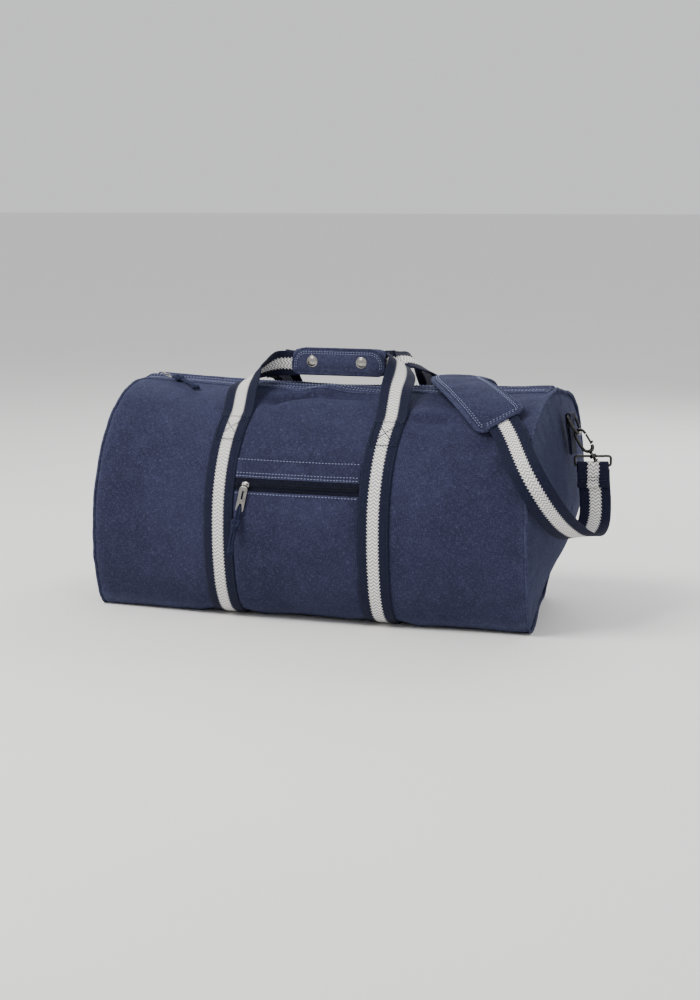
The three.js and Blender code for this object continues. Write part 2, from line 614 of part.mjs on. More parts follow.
function shoulderStrap() {
  add("strap_right_run", ribbon(RIGHT_RUN, WEB_WIDTH - 1, STRAP_THICK, 34), WEBBING);
  const legs = LEFT_RUN.length - 1;
  add("strap_left_run", ribbon(LEFT_RUN, WEB_WIDTH - 1, STRAP_THICK, legs * STEPS_PER_LEG), WEBBING);
  const doubled = (legs - RETURN_FROM) * STEPS_PER_LEG;
  const returned = ribbon(LEFT_RUN, WEB_WIDTH - 1, STRAP_THICK, doubled, RETURN_LIFT, RETURN_FROM / legs);
  add("strap_return", returned, WEBBING);
  add("shoulder_pad", ribbon(PAD_ROUTE, PAD_WIDTH, PAD_THICK, 18), CANVAS);
  // Three-bar slide: a plate whose two slots leave a middle bar; the strap passes along its inner face.
  const plate = roundedRect(-9, -WEB_WIDTH / 2 - 4, 9, WEB_WIDTH / 2 + 4, 3);
  for (const x of [-4, 4]) {
    plate.holes.push(roundedRect(x - 2.4, -WEB_WIDTH / 2, x + 2.4, WEB_WIDTH / 2, 1, THREE.Path));
  }
  const slide = prismY(plate, 1.6, 4).translate(ADJUSTER.x, ADJUSTER.y, ADJUSTER.z);
  add("strap_adjuster", slide, GUNMETAL);
}

bodyPanels();
endPanel("left_end_panel", -1);
endPanel("right_end_panel", 1);
webbing();
pocket();
mainZip();
zipPulls();
handles();
gripParts();
endHardware("right", false, RIGHT_HANG);
endHardware("left", true, LEFT_HANG);
shoulderStrap();

export default bag;
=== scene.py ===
import math

import bpy
import numpy as np
from mathutils import Matrix, Vector


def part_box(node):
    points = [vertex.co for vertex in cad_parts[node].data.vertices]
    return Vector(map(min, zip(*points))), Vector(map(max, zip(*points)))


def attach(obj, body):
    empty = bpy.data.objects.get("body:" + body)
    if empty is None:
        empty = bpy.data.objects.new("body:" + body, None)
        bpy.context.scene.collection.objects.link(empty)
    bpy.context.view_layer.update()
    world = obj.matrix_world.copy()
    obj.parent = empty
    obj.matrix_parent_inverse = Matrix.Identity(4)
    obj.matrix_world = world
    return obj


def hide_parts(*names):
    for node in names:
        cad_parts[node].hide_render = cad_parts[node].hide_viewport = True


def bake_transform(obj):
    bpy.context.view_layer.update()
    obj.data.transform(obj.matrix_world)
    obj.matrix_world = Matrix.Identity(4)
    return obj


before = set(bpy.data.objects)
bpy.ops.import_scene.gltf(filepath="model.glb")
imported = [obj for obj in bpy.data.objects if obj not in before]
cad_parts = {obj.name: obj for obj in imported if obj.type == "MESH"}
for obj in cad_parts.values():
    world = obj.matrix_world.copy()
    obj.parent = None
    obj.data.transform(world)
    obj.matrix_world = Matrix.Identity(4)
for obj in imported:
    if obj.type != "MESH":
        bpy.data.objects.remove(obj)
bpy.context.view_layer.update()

MM = 0.001


# ---- numbers ----
def smooth(edge0, edge1, value):
    """0 before edge0, 1 after edge1 and an S between them."""
    t = np.clip((np.asarray(value, float) - edge0) / (edge1 - edge0), 0, 1)
    return t * t * (3 - 2 * t)


def bell(value, middle, width):
    return np.exp(-(((np.asarray(value, float) - middle) / width) ** 2))


LATTICE = np.random.RandomState(7).rand(16, 64, 64) * 2 - 1


def noise2(a, b, layer):
    """Smooth value noise from -1 to 1 with one cell per unit."""
    a, b = np.broadcast_arrays(np.asarray(a, float), np.asarray(b, float))
    i, j = np.floor(a).astype(int), np.floor(b).astype(int)
    u, v = a - i, b - j
    u, v = u * u * (3 - 2 * u), v * v * (3 - 2 * v)
    table = LATTICE[layer]
    at = lambda di, dj: table[(i + di) % 64, (j + dj) % 64]
    low = at(0, 0) * (1 - u) + at(1, 0) * u
    high = at(0, 1) * (1 - u) + at(1, 1) * u
    return low * (1 - v) + high * v


def spline(points, n, extra=None):
    """Centripetal curve through points at n + 1 even steps of its length; extra columns ride along."""
    p = np.asarray(points, float)
    q = p if extra is None else np.hstack([p, np.asarray(extra, float)])
    p = np.vstack([2 * p[0] - p[1], p, 2 * p[-1] - p[-2]])
    q = np.vstack([2 * q[0] - q[1], q, 2 * q[-1] - q[-2]])
    rows = []
    for i in range(1, len(p) - 2):
        knots = [0.0]
        for k in range(3):
            knots.append(knots[-1] + max(np.linalg.norm(p[i + k] - p[i + k - 1]), 1e-9) ** 0.5)
        t0, t1, t2, t3 = knots
        t = np.linspace(t1, t2, 40, endpoint=False)[:, None]
        a1 = (t1 - t) / (t1 - t0) * q[i - 1] + (t - t0) / (t1 - t0) * q[i]
        a2 = (t2 - t) / (t2 - t1) * q[i] + (t - t1) / (t2 - t1) * q[i + 1]
        a3 = (t3 - t) / (t3 - t2) * q[i + 1] + (t - t2) / (t3 - t2) * q[i + 2]
        b1 = (t2 - t) / (t2 - t0) * a1 + (t - t0) / (t2 - t0) * a2
        b2 = (t3 - t) / (t3 - t1) * a2 + (t - t1) / (t3 - t1) * a3
        rows.append((t2 - t) / (t2 - t1) * b1 + (t - t1) / (t2 - t1) * b2)
    dense = np.vstack([*rows, q[-2:-1]])
    width = np.asarray(points).shape[1]
    steps = np.linalg.norm(np.diff(dense[:, :width], axis=0), axis=1)
    length = np.concatenate([[0], np.cumsum(steps)])
    even = np.linspace(0, length[-1], n + 1)
    return np.stack([np.interp(even, length, dense[:, c]) for c in range(dense.shape[1])], axis=1)


def circle(radius, sides):
    """Points (u, v) round a circle."""
    return [(radius * math.cos(a), radius * math.sin(a)) for a in np.linspace(0, 2 * math.pi, sides + 1)[:-1]]


def unit(v):
    return v / np.maximum(np.linalg.norm(v, axis=-1, keepdims=True), 1e-12)


# ---- shader helpers ----
class Tree:
    """Builds one material's nodes; a value may be a number or another node's output."""

    def __init__(self, name):
        self.material = bpy.data.materials.new(name)
        self.material.use_nodes = True
        self.tree = self.material.node_tree
        self.shader = self.tree.nodes["Principled BSDF"]

    def node(self, kind, inputs=(), output=0, **settings):
        node = self.tree.nodes.new(kind)
        for key, value in settings.items():
            setattr(node, key, value)
        for key, value in dict(inputs).items():
            self.put(node.inputs[key], value)
        return node.outputs[output]

    def put(self, socket, value):
        if isinstance(value, bpy.types.NodeSocket):
            self.tree.links.new(value, socket)
        else:
            socket.default_value = value

    def math(self, operation, a, b=0.0, c=0.0, clamp=False):
        return self.node("ShaderNodeMath", {0: a, 1: b, 2: c}, operation=operation, use_clamp=clamp)

    def mix(self, factor, a, b):
        a, b = [(*c, 1) if isinstance(c, tuple) else c for c in (a, b)]
        return self.node("ShaderNodeMix", {0: factor, 6: a, 7: b}, output=2, data_type="RGBA")

    def noise(self, vector, scale, detail=2.0, roughness=0.55):
        inputs = {"Vector": vector, "Scale": scale, "Detail": detail, "Roughness": roughness}
        return self.node("ShaderNodeTexNoise", inputs)

    def stretched(self, vector, scale):
        """Fine noise in a space scaled by a different amount along each axis."""
        return self.noise(self.node("ShaderNodeVectorMath", {0: vector, 1: scale}, operation="MULTIPLY"), 1.0)

    def ramp(self, value, low, high):
        """The value's share of the way from low to high, held to 0 and 1."""
        inputs = {"Value": value, "From Min": low, "From Max": high}
        return self.node("ShaderNodeMapRange", inputs, interpolation_type="SMOOTHSTEP")

    def place(self):
        return self.node("ShaderNodeTexCoord", output="Object")

    def attribute(self, name, output="Fac"):
        return self.node("ShaderNodeAttribute", attribute_name=name, output=output)

    def bump(self, *layers):
        """Stacks (height, distance in metres, strength) layers and links them as the normal."""
        normal = None
        for height, distance, strength in layers:
            inputs = {"Height": height, "Distance": distance, "Strength": strength}
            if normal is not None:
                inputs["Normal"] = normal
            normal = self.node("ShaderNodeBump", inputs)
        self.put(self.shader.inputs["Normal"], normal)

    def set(self, **values):
        for key, value in values.items():
            self.put(self.shader.inputs[key.replace("_", " ")], value)


def canvas_material(name, dark, mid, light, fleck, thread=0.00062):
    """Washed piece-dyed canvas: blotches, heathered yarns, a plain weave and pale worn edges."""
    t = Tree(name)
    place = t.place()
    lay = t.attribute("lay", "Vector")
    weft, warp = [
        t.math(
            "SINE",
            t.math("MULTIPLY", t.node("ShaderNodeSeparateXYZ", {0: lay}, output=axis), 2 * math.pi / thread),
        )
        for axis in (0, 1)
    ]
    weave = t.math("MULTIPLY", weft, warp)
    slub = t.math("ADD", t.stretched(lay, (190.0, 1250.0, 500.0)), t.stretched(lay, (1250.0, 190.0, 500.0)))
    blotch = t.noise(place, 11.0, 3.0, 0.6)
    mottle = t.noise(place, 75.0, 4.0, 0.65)
    grain = t.noise(place, 680.0, 3.0, 0.7)
    wear = t.attribute("wear")
    tone = t.mix(t.ramp(blotch, 0.3, 0.72), dark, mid)
    tone = t.mix(t.math("MULTIPLY", t.ramp(mottle, 0.45, 0.78), 0.24), tone, light)
    tone = t.mix(t.math("MULTIPLY", t.ramp(grain, 0.5, 0.72), 0.62), tone, light)
    tone = t.mix(t.math("MULTIPLY", t.ramp(grain, 0.47, 0.3), 0.65), tone, tuple(0.45 * c for c in dark))
    tone = t.mix(t.math("MULTIPLY", t.ramp(slub, 1.06, 1.35), 0.5), tone, fleck)
    tone = t.mix(t.math("MULTIPLY", t.ramp(slub, 0.95, 0.7), 0.4), tone, tuple(0.5 * c for c in dark))
    worn = t.math("MULTIPLY", wear, t.ramp(t.noise(place, 260.0, 3.0, 0.7), 0.25, 0.7), clamp=True)
    tone = t.mix(worn, tone, fleck)
    t.set(Base_Color=tone, Roughness=t.math("MULTIPLY_ADD", grain, 0.12, 0.82))
    t.set(Sheen_Weight=0.1, Sheen_Roughness=0.45, Sheen_Tint=(0.4, 0.5, 0.9, 1.0), Specular_IOR_Level=0.1)
    t.bump((mottle, 0.0009, 0.5), (slub, 0.0004, 0.6), (grain, 0.0003, 0.5), (weave, 0.00015, 0.5))
    return t.material


def webbing_material(name, striped=True):
    """Twill webbing, with or without its cream herringbone stripe, whose dark chevron lines are painted
    shade; lay holds metres across and along.
    """
    t = Tree(name)
    place = t.place()
    lay = t.attribute("lay", "Vector")
    across = t.node("ShaderNodeSeparateXYZ", {0: lay}, output=0)
    along = t.node("ShaderNodeSeparateXYZ", {0: lay}, output=1)
    reach = t.math("ABSOLUTE", across)
    fibre = t.stretched(lay, (900.0, 220.0, 1.0))
    grain = t.noise(place, 600.0, 2.0, 0.6)
    twill = t.math(
        "SINE",
        t.math("MULTIPLY", t.math("ADD", along, t.math("MULTIPLY", across, 1.3)), 2 * math.pi / 0.0019),
    )
    navy = t.mix(t.ramp(twill, -0.6, 0.9), (0.0048, 0.0056, 0.0165), (0.0115, 0.014, 0.036))
    navy = t.mix(t.math("MULTIPLY", t.ramp(fibre, 0.5, 0.8), 0.5), navy, (0.03, 0.035, 0.07))
    colour, height = navy, twill
    if striped:
        saw = t.math("PINGPONG", along, 0.0022)
        edge = t.math("MULTIPLY_ADD", saw, 1.3, 0.0057)
        stripe = t.math("LESS_THAN", reach, edge)
        column = t.math("PINGPONG", t.math("ADD", across, 0.0216), 0.0036)
        chevron = t.math("SINE", t.math("MULTIPLY", t.math("ADD", along, column), 2 * math.pi / 0.0044))
        # The chevrons are the stripe's real herringbone weave; their dark grey lines are painted shade
        # between the ribs of the cream yarn.
        cream = t.mix(t.ramp(chevron, -0.9, 0.7), (0.24, 0.24, 0.25), (0.9, 0.88, 0.84))
        cream = t.mix(t.math("MULTIPLY", t.ramp(grain, 0.45, 0.75), 0.35), cream, (0.5, 0.5, 0.52))
        colour = t.mix(stripe, navy, cream)
        height = t.math(
            "ADD", t.math("MULTIPLY", twill, t.math("SUBTRACT", 1.0, stripe)),
            t.math("MULTIPLY", chevron, stripe),
        )
    t.set(Base_Color=colour, Roughness=t.math("MULTIPLY_ADD", fibre, 0.15, 0.72))
    t.set(Sheen_Weight=0.03, Sheen_Roughness=0.5, Specular_IOR_Level=0.12)
    t.bump((height, 0.00022, 0.7), (fibre, 0.0002, 0.5))
    return t.material


def thread_material(name, colour, pale):
    t = Tree(name)
    twist = t.noise(t.place(), 1500.0, 2.0)
    t.set(Base_Color=t.mix(twist, colour, pale), Roughness=0.7, Specular_IOR_Level=0.3)
    t.bump((twist, 0.0001, 0.5))
    return t.material


def metal_material(name, colour, dull, roughness):
    """Plated metal with brushed micro scratches, tarnish in patches and a soft grain."""
    t = Tree(name)
    place = t.place()
    tarnish = t.noise(place, 160.0, 4.0, 0.6)
    scratch = t.stretched(place, (300.0, 300.0, 2600.0))
    patch = t.ramp(tarnish, 0.48, 0.72)
    t.set(Base_Color=t.mix(patch, colour, dull), Metallic=1.0)
    rough = t.math("MULTIPLY_ADD", patch, 0.16, roughness)
    t.set(Roughness=t.math("ADD", rough, t.math("MULTIPLY", scratch, 0.12)))
    t.bump((scratch, 0.00004, 0.4), (tarnish, 0.00012, 0.35))
    return t.material


def tape_material(name):
    """Zip tape: a tight black-navy twill."""
    t = Tree(name)
    place = t.place()
    rib = t.node("ShaderNodeTexWave", {"Vector": place, "Scale": 380.0, "Distortion": 0.5}, output=1)
    grain = t.noise(place, 700.0, 2.0)
    tone = t.mix(t.ramp(grain, 0.35, 0.7), (0.0025, 0.003, 0.007), (0.009, 0.011, 0.024))
    t.set(Base_Color=tone, Roughness=0.8, Specular_IOR_Level=0.1)
    t.bump((rib, 0.0002, 0.5), (grain, 0.0002, 0.4))
    return t.material


def board_material(name):
    t = Tree(name)
    place = t.place()
    fibre = t.noise(place, 240.0, 5.0, 0.7)
    tone = t.mix(t.ramp(fibre, 0.3, 0.7), (0.05, 0.035, 0.02), (0.13, 0.095, 0.06))
    t.set(Base_Color=tone, Roughness=0.9)
    t.bump((fibre, 0.0003, 0.5))
    return t.material


CANVAS = canvas_material(
    "washed_canvas", (0.0172, 0.0177, 0.0408), (0.0252, 0.0264, 0.0585), (0.055, 0.0595, 0.122),
    (0.105, 0.115, 0.2),
)
CANVAS_DEEP = canvas_material(
    "washed_canvas_binding", (0.0128, 0.0137, 0.0335), (0.021, 0.0227, 0.051), (0.044, 0.0495, 0.104),
    (0.09, 0.1, 0.178),
)
STRIPED = webbing_material("striped_webbing")
PLAIN_WEBBING = webbing_material("plain_webbing", striped=False)
SEAM_THREAD = thread_material("blue_thread", (0.13, 0.155, 0.27), (0.31, 0.345, 0.49))
DARK_THREAD = thread_material("dark_thread", (0.006, 0.009, 0.022), (0.018, 0.026, 0.06))
NICKEL = metal_material("aged_nickel", (0.34, 0.33, 0.31), (0.12, 0.115, 0.105), 0.2)
GUNMETAL = metal_material("gunmetal_plate", (0.055, 0.054, 0.053), (0.02, 0.019, 0.018), 0.2)
TAPE = tape_material("zip_tape_weave")
COIL = thread_material("zip_coil_nylon", (0.004, 0.005, 0.012), (0.014, 0.017, 0.034))
CORD = canvas_material(
    "cotton_cord", (0.006, 0.0075, 0.02), (0.011, 0.0135, 0.035), (0.024, 0.028, 0.062), (0.045, 0.052, 0.1),
    thread=0.0008,
)
BOARD = board_material("fibre_board")


# ---- mesh helpers ----
def piece(name, mesh, material, body, replaces=(), wear=None):
    """Makes the object of one (points, faces[, lay[, wear]]) mesh.

    It rides on a CAD body and stands for the CAD nodes that it replaces. lay holds each point's place in the
    cloth in metres, for the weave; wear, an array or one number, says how worn it is.
    """
    points, faces, lay, own_wear = (*mesh, None, None)[:4]
    wear = own_wear if wear is None else wear
    mesh = bpy.data.meshes.new(name)
    mesh.from_pydata(
        np.asarray(points, float).tolist(), [], faces if isinstance(faces, list) else faces.tolist(),
    )
    mesh.validate()
    if lay is not None:
        lay = np.asarray(lay, np.float32).ravel()
        mesh.attributes.new("lay", "FLOAT_VECTOR", "POINT").data.foreach_set("vector", lay)
    if wear is not None:
        worn = np.broadcast_to(np.asarray(wear, np.float32), (len(points),)).copy()
        mesh.attributes.new("wear", "FLOAT", "POINT").data.foreach_set("value", worn)
    mesh.polygons.foreach_set("use_smooth", np.ones(len(mesh.polygons), bool))
    mesh.materials.append(material)
    obj = bpy.data.objects.new(name, mesh)
    bpy.context.scene.collection.objects.link(obj)
    if body:
        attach(obj, body)
    if replaces:
        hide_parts(*([replaces] if isinstance(replaces, str) else replaces))
    return obj


def resampled(at, run, rows):
    """Rows of points read off at places along a run."""
    return np.stack([np.interp(at, run, rows[:, c]) for c in range(rows.shape[1])], axis=1)


def rows_of(direction, count):
    """One direction, said once for each of count rows."""
    return np.tile(np.asarray(direction, float), (count, 1))


def run_length(path):
    return float(np.linalg.norm(np.diff(path, axis=0), axis=1).sum())


def grid_faces(rows, columns, wrap_rows=False, wrap_columns=False, start=0, flip=False):
    """Quads of a rows by columns grid of points."""
    r = np.arange(rows if wrap_rows else rows - 1)
    c = np.arange(columns if wrap_columns else columns - 1)
    r, c = [a.ravel() for a in np.meshgrid(r, c, indexing="ij")]
    r1, c1 = (r + 1) % rows, (c + 1) % columns
    quads = np.stack([r * columns + c, r * columns + c1, r1 * columns + c1, r1 * columns + c], axis=1) + start
    return quads[:, ::-1] if flip else quads


def caps(rows, columns):
    """Two polygons that close the first and last rings of a tube."""
    return [list(range(columns))[::-1], list(range((rows - 1) * columns, rows * columns))]


def tube_faces(points, rows, columns):
    """Faces of a capped tube whose rings are the points' rows, turned outwards."""
    return outward(points, grid_faces(rows, columns, wrap_columns=True).tolist() + caps(rows, columns))


def outward(points, faces):
    """Faces turned so that the closed mesh's volume is positive."""
    p = np.asarray(points)
    total = 0.0
    for f in faces:
        for k in range(1, len(f) - 1):
            total += np.dot(p[f[0]], np.cross(p[f[k]], p[f[k + 1]]))
    return faces if total > 0 else [list(f)[::-1] for f in faces]


def tube_mesh(path, radius, sides, closed=False, squash=1.0):
    """Points and faces of a round tube along a path; radius may vary along it."""
    path = np.asarray(path, float)
    n = len(path)
    radius = np.broadcast_to(np.asarray(radius, float), (n,))
    if closed:
        tangent = unit(np.roll(path, -1, 0) - np.roll(path, 1, 0))
    else:
        tangent = unit(np.gradient(path, axis=0))
    side = np.zeros_like(path)
    hint = np.array([0.0, 0.0, 1.0])
    if abs(np.dot(hint, tangent[0])) > 0.9:
        hint = np.array([1.0, 0.0, 0.0])
    current = unit(np.cross(tangent[0], hint))
    for i in range(n):
        current = unit(current - np.dot(current, tangent[i]) * tangent[i])
        side[i] = current
    if closed:
        # Spread the twist that is left where the ends meet.
        back = unit(side[-1] - np.dot(side[-1], tangent[0]) * tangent[0])
        angle = math.atan2(np.dot(np.cross(back, side[0]), tangent[0]), np.dot(back, side[0]))
        turn = angle * np.arange(n) / n
        third = np.cross(tangent, side)
        side = side * np.cos(turn)[:, None] + third * np.sin(turn)[:, None]
    third = np.cross(tangent, side)
    a = 2 * math.pi * np.arange(sides) / sides
    points = (
        path[:, None]
        + radius[:, None, None] * np.cos(a)[None, :, None] * side[:, None]
        + squash * radius[:, None, None] * np.sin(a)[None, :, None] * third[:, None]
    )
    faces = grid_faces(n, sides, wrap_rows=closed, wrap_columns=True).tolist()
    if not closed:
        faces += caps(n, sides)
    return points.reshape(-1, 3), outward(points.reshape(-1, 3), faces)


def self_laid(mesh):
    """A mesh whose points serve as its lay."""
    points, faces = mesh
    return points, faces, points


def hollow_mesh(rings):
    """A ring-shaped solid: rings of points, the last joined to the first."""
    rings = np.array(rings)
    rows, columns = rings.shape[:2]
    flat = rings.reshape(-1, 3)
    return flat, outward(flat, grid_faces(rows, columns, wrap_rows=True, wrap_columns=True).tolist())


def join_meshes(*meshes):
    points, faces, count = [], [], 0
    for p, f in meshes:
        points.append(np.asarray(p, float))
        faces += [[i + count for i in face] for face in f]
        count += len(p)
    return np.vstack(points), faces


def rounded_section(width, thick, columns):
    """Closed outline of a flat strip with rounded edges, as (across, height) from its underside."""
    half, r = width / 2, thick / 2
    edge = np.linspace(0, math.pi, 5)[1:-1]
    top = [(x, thick) for x in np.linspace(half - r, -half + r, columns)]
    left = [(-half + r - r * math.sin(a), r + r * math.cos(a)) for a in edge]
    low = [(-x, 0.0) for x, _ in top]
    right = [(half - r + r * math.sin(a), r - r * math.cos(a)) for a in edge]
    return np.array(top + left + low + right)


def strip_mesh(path, across, out, width, thick, columns=14, lift=0.0, widths=None):
    """A strip along a path: across and out are unit rows, and its underside lies on the path plus lift."""
    section = rounded_section(width, thick, columns)
    n = len(path)
    scale = np.ones(n) if widths is None else np.asarray(widths)
    length = np.concatenate([[0], np.cumsum(np.linalg.norm(np.diff(path, axis=0), axis=1))])
    points = (
        path[:, None]
        + (section[:, 0][None, :, None] * scale[:, None, None]) * across[:, None]
        + (section[:, 1][None, :, None] + lift) * out[:, None]
    )
    lay = np.zeros((n, len(section), 3))
    lay[..., 0] = section[:, 0][None, :]
    lay[..., 1] = length[:, None]
    flat = points.reshape(-1, 3)
    return flat, tube_faces(flat, n, len(section)), lay.reshape(-1, 3)


def stitch_mesh(path, out, pitch, length, radius=0.0004):
    """Separate stitches along a path, each a short bowed spindle that dips into the cloth at both ends."""
    path, out = np.asarray(path, float), unit(np.asarray(out, float))
    steps = np.linalg.norm(np.diff(path, axis=0), axis=1)
    run = np.concatenate([[0], np.cumsum(steps)])
    count = max(1, int(run[-1] / pitch))
    at = (np.arange(count) + 0.5) * run[-1] / count
    centre = resampled(at, run, path)
    ahead, behind = np.minimum(at + 1e-4, run[-1]), np.maximum(at - 1e-4, 0)
    tangent = unit(resampled(ahead, run, path) - resampled(behind, run, path))
    up = resampled(at, run, out)
    up = unit(up - np.sum(up * tangent, axis=1, keepdims=True) * tangent)
    wide = np.cross(tangent, up)
    sides = 5
    ring_t = np.array([-0.5, -0.28, 0.0, 0.28, 0.5])
    ring_r = np.array([0.35, 0.9, 1.0, 0.9, 0.35])
    ring_h = np.array([-1.35, -0.05, 0.3, -0.05, -1.35])
    a = 2 * math.pi * np.arange(sides) / sides
    points = (
        centre[:, None, None]
        + (ring_t * length)[None, :, None, None] * tangent[:, None, None]
        + (ring_h * radius)[None, :, None, None] * up[:, None, None]
        + (ring_r[:, None] * np.cos(a) * radius)[None, :, :, None] * wide[:, None, None]
        + (ring_r[:, None] * np.sin(a) * radius)[None, :, :, None] * up[:, None, None]
    )
    faces = []
    size = len(ring_t) * sides
    one = tube_faces(points[0].reshape(-1, 3), len(ring_t), sides)
    for k in range(count):
        faces += [[i + k * size for i in f] for f in one]
    return points.reshape(-1, 3), faces


AXIS_HOLE = 1e-5  # the smallest radius of a turned part, so that its end polygons keep an area


def lathe_mesh(profile, sides):
    """Points and faces of a (radius, height) profile turned about Z, closed by a tiny polygon on the axis."""
    profile = np.maximum(np.asarray(profile, float), (AXIS_HOLE, -1))
    a = 2 * math.pi * np.arange(sides) / sides
    points = np.stack(
        [profile[:, 0:1] * np.cos(a), profile[:, 0:1] * np.sin(a), np.repeat(profile[:, 1:2], sides, axis=1)],
        axis=2
    )
    flat = points.reshape(-1, 3)
    return flat, tube_faces(flat, len(profile), sides)


def moved(mesh, *matrices):
    """The mesh moved by each matrix in turn."""
    points, *rest = mesh
    for matrix in matrices:
        m = np.array(matrix)
        points = np.asarray(points) @ m[:3, :3].T + m[:3, 3]
    return (points, *rest)


# ---- camera and light ----
AZIMUTH = math.radians(20)
CAMERA_AWAY = 2.546
CAMERA_UP = 0.524
PITCH = 0.152
camera_data = bpy.data.cameras.new("camera")
camera_data.lens = 71.1
camera_data.sensor_width = 36
camera_data.shift_x = 0.0105
camera = bpy.data.objects.new("camera", camera_data)
camera.location = (CAMERA_AWAY * math.sin(AZIMUTH), -CAMERA_AWAY * math.cos(AZIMUTH), CAMERA_UP)
camera.rotation_euler = (math.pi / 2 - PITCH, 0, AZIMUTH)
bpy.context.scene.collection.objects.link(camera)
bpy.context.scene.camera = camera


def area_light(name, location, target, size, power, colour):
    data = bpy.data.lights.new(name, "AREA")
    data.shape = "RECTANGLE"
    data.size, data.size_y = size
    data.energy = power
    data.color = colour
    obj = bpy.data.objects.new(name, data)
    obj.location = location
    obj.rotation_euler = (Vector(target) - Vector(location)).to_track_quat("-Z", "Y").to_euler()
    bpy.context.scene.collection.objects.link(obj)


area_light("key", (-0.9, -1.2, 2.1), (0, 0, 0.15), (1.3, 0.9), 66, (1, 0.985, 0.96))
area_light("fill", (1.8, -1.5, 1.2), (0, 0, 0.15), (1.6, 1.6), 7, (0.95, 0.97, 1))
area_light("back", (0.4, 1.9, 1.6), (0, 0, 0.2), (1.8, 1.0), 34, (1, 1, 1))
world = bpy.data.worlds.new("studio")
world.use_nodes = True
world.node_tree.nodes["Background"].inputs["Color"].default_value = (0.93, 0.935, 0.95, 1)
world.node_tree.nodes["Background"].inputs["Strength"].default_value = 0.88
bpy.context.scene.world = world

floor_tree = Tree("pale_floor")
floor_mottle = floor_tree.noise(floor_tree.place(), 3.0, 4.0)
floor_tree.set(
    Base_Color=floor_tree.mix(floor_mottle, (0.8, 0.79, 0.775), (0.84, 0.83, 0.815)), Roughness=0.8,
)
floor_mesh = bpy.data.meshes.new("floor")
FLOOR = 60.0
floor_mesh.from_pydata(
    [(-FLOOR, -FLOOR, 0), (FLOOR, -FLOOR, 0), (FLOOR, FLOOR, 0), (-FLOOR, FLOOR, 0)], [], [(0, 1, 2, 3)],
)
floor_mesh.materials.append(floor_tree.material)
floor = bpy.data.objects.new("floor", floor_mesh)
bpy.context.scene.collection.objects.link(floor)


# ---- shoulder strap: one flat cord from the right loop, through the pad, to the left loop ----
STRAP_WIDTH = 0.039
STRAP_THICK = 0.0024
RIGHT_RUN = [
    [[336, 2.6, 190], [-0.34, 0.94, 0]], [[337, 1.5, 173], [-0.34, 0.94, 0]],
    [[340, -4, 150], [-0.34, 0.92, -0.2]], [[342, -17, 130], [-0.25, 0.65, -0.72]],
    [[341, -44, 117], [0, 0.15, -1]], [[335, -77, 119], [0.2, -0.45, -0.87]],
    [[326, -111, 134], [0.28, -0.8, -0.52]], [[316, -141, 157], [0.2, -0.95, -0.15]],
    [[303.5, -157, 183], [0.08, -0.98, 0.18]], [[290, -157, 206], [0, -0.93, 0.37]],
    [[275, -143, 228], [0, -0.85, 0.53]], [[264, -130, 243], [0, -0.75, 0.66]],
]
PAD_ROUTE = [
    [[249.5, -113.8, 257.6], [0, -0.66, 0.75]], [[224, -92, 274.5], [0, -0.45, 0.89]],
    [[192, -57, 289.5], [0, -0.25, 0.97]], [[165, -18, 296.5], [0, -0.06, 1]],
    [[156, 20, 296], [0, 0.08, 1]], [[158, 60, 288.5], [0, 0.33, 0.94]],
    [[155, 92, 275.5], [0, 0.45, 0.89]],
]
LEFT_RUN = [
    [[151, 111, 262], [0, 0.6, 0.8]],
    [[140, 130, 239], [0, 0.75, 0.66]], [[126, 149, 210], [0, 0.9, 0.4]],
    [[104, 162, 179], [0, 0.98, 0.15]], [[74, 168, 149], [0, 1, 0]],
    [[38, 169, 123], [0, 1, 0]], [[-4, 169, 101], [0, 1, 0]], [[-52, 168.5, 87], [0, 1, 0]],
    [[-105, 168, 80.5], [0, 1, 0]], [[-145, 168, 80], [0, 1, 0]], [[-175, 168, 80], [0, 1, 0]],
    [[-205, 168, 80], [0, 1, 0]], [[-235, 168, 80], [0, 1, 0]], [[-264, 168, 80.3], [-0.05, 1, 0]],
    [[-290, 163, 82], [-0.5, 0.86, 0]], [[-307, 147, 85.5], [-0.85, 0.52, 0]],
    [[-316, 120, 90], [-0.97, 0.24, 0]], [[-321, 90, 97], [-1, 0.08, 0]],
    [[-323, 60, 107], [-1, 0, 0]], [[-323.6, 34, 122], [-1, 0, 0]], [[-324, 14, 142], [-1, 0, 0]],
    [[-324, 4, 163], [-1, 0, 0]], [[-324, 0.5, 186], [-1, 0, 0]],
]


def ribbon_frame(route, n):
    """Path, across and outward unit rows along a route of [point in mm, facing] pairs."""
    points = np.array([p for p, _ in route], float) * MM
    facing = np.array([f for _, f in route], float)
    rows = spline(points, n, facing)
    path, out = rows[:, :3], rows[:, 3:]
    tangent = unit(np.gradient(path, axis=0))
    across = unit(np.cross(out, tangent))
    return path, across, np.cross(tangent, across)


strap_route = RIGHT_RUN + PAD_ROUTE + LEFT_RUN
strap_path, strap_across, strap_out = ribbon_frame(strap_route, 420)
strap = piece(
    "shoulder_strap",
    strip_mesh(strap_path, strap_across, strap_out, STRAP_WIDTH, STRAP_THICK, lift=-STRAP_THICK / 2), STRIPED,
    "bag", ("strap_right_run", "strap_left_run"),
)

# The doubled end, turned back over the strap from the adjuster to the left loop.
RETURN_LIFT = 5.6 * MM
return_route = LEFT_RUN[11:]
return_path, return_across, return_out = ribbon_frame(return_route, 170)
return_path = return_path + return_out * RETURN_LIFT
strap_return = piece(
    "strap_return_webbing",
    strip_mesh(return_path, return_across, return_out, STRAP_WIDTH, STRAP_THICK, lift=-STRAP_THICK / 2),
    STRIPED, "bag", "strap_return",
)

# ---- shoulder pad: a crowned sleeve with bound edges, round the strap ----
PAD_WIDTH = 0.064
PAD_THICK = 0.0105
PAD_STEPS = 110
pad_path, pad_across, pad_out = ribbon_frame(PAD_ROUTE, PAD_STEPS)
pad_length = run_length(pad_path)


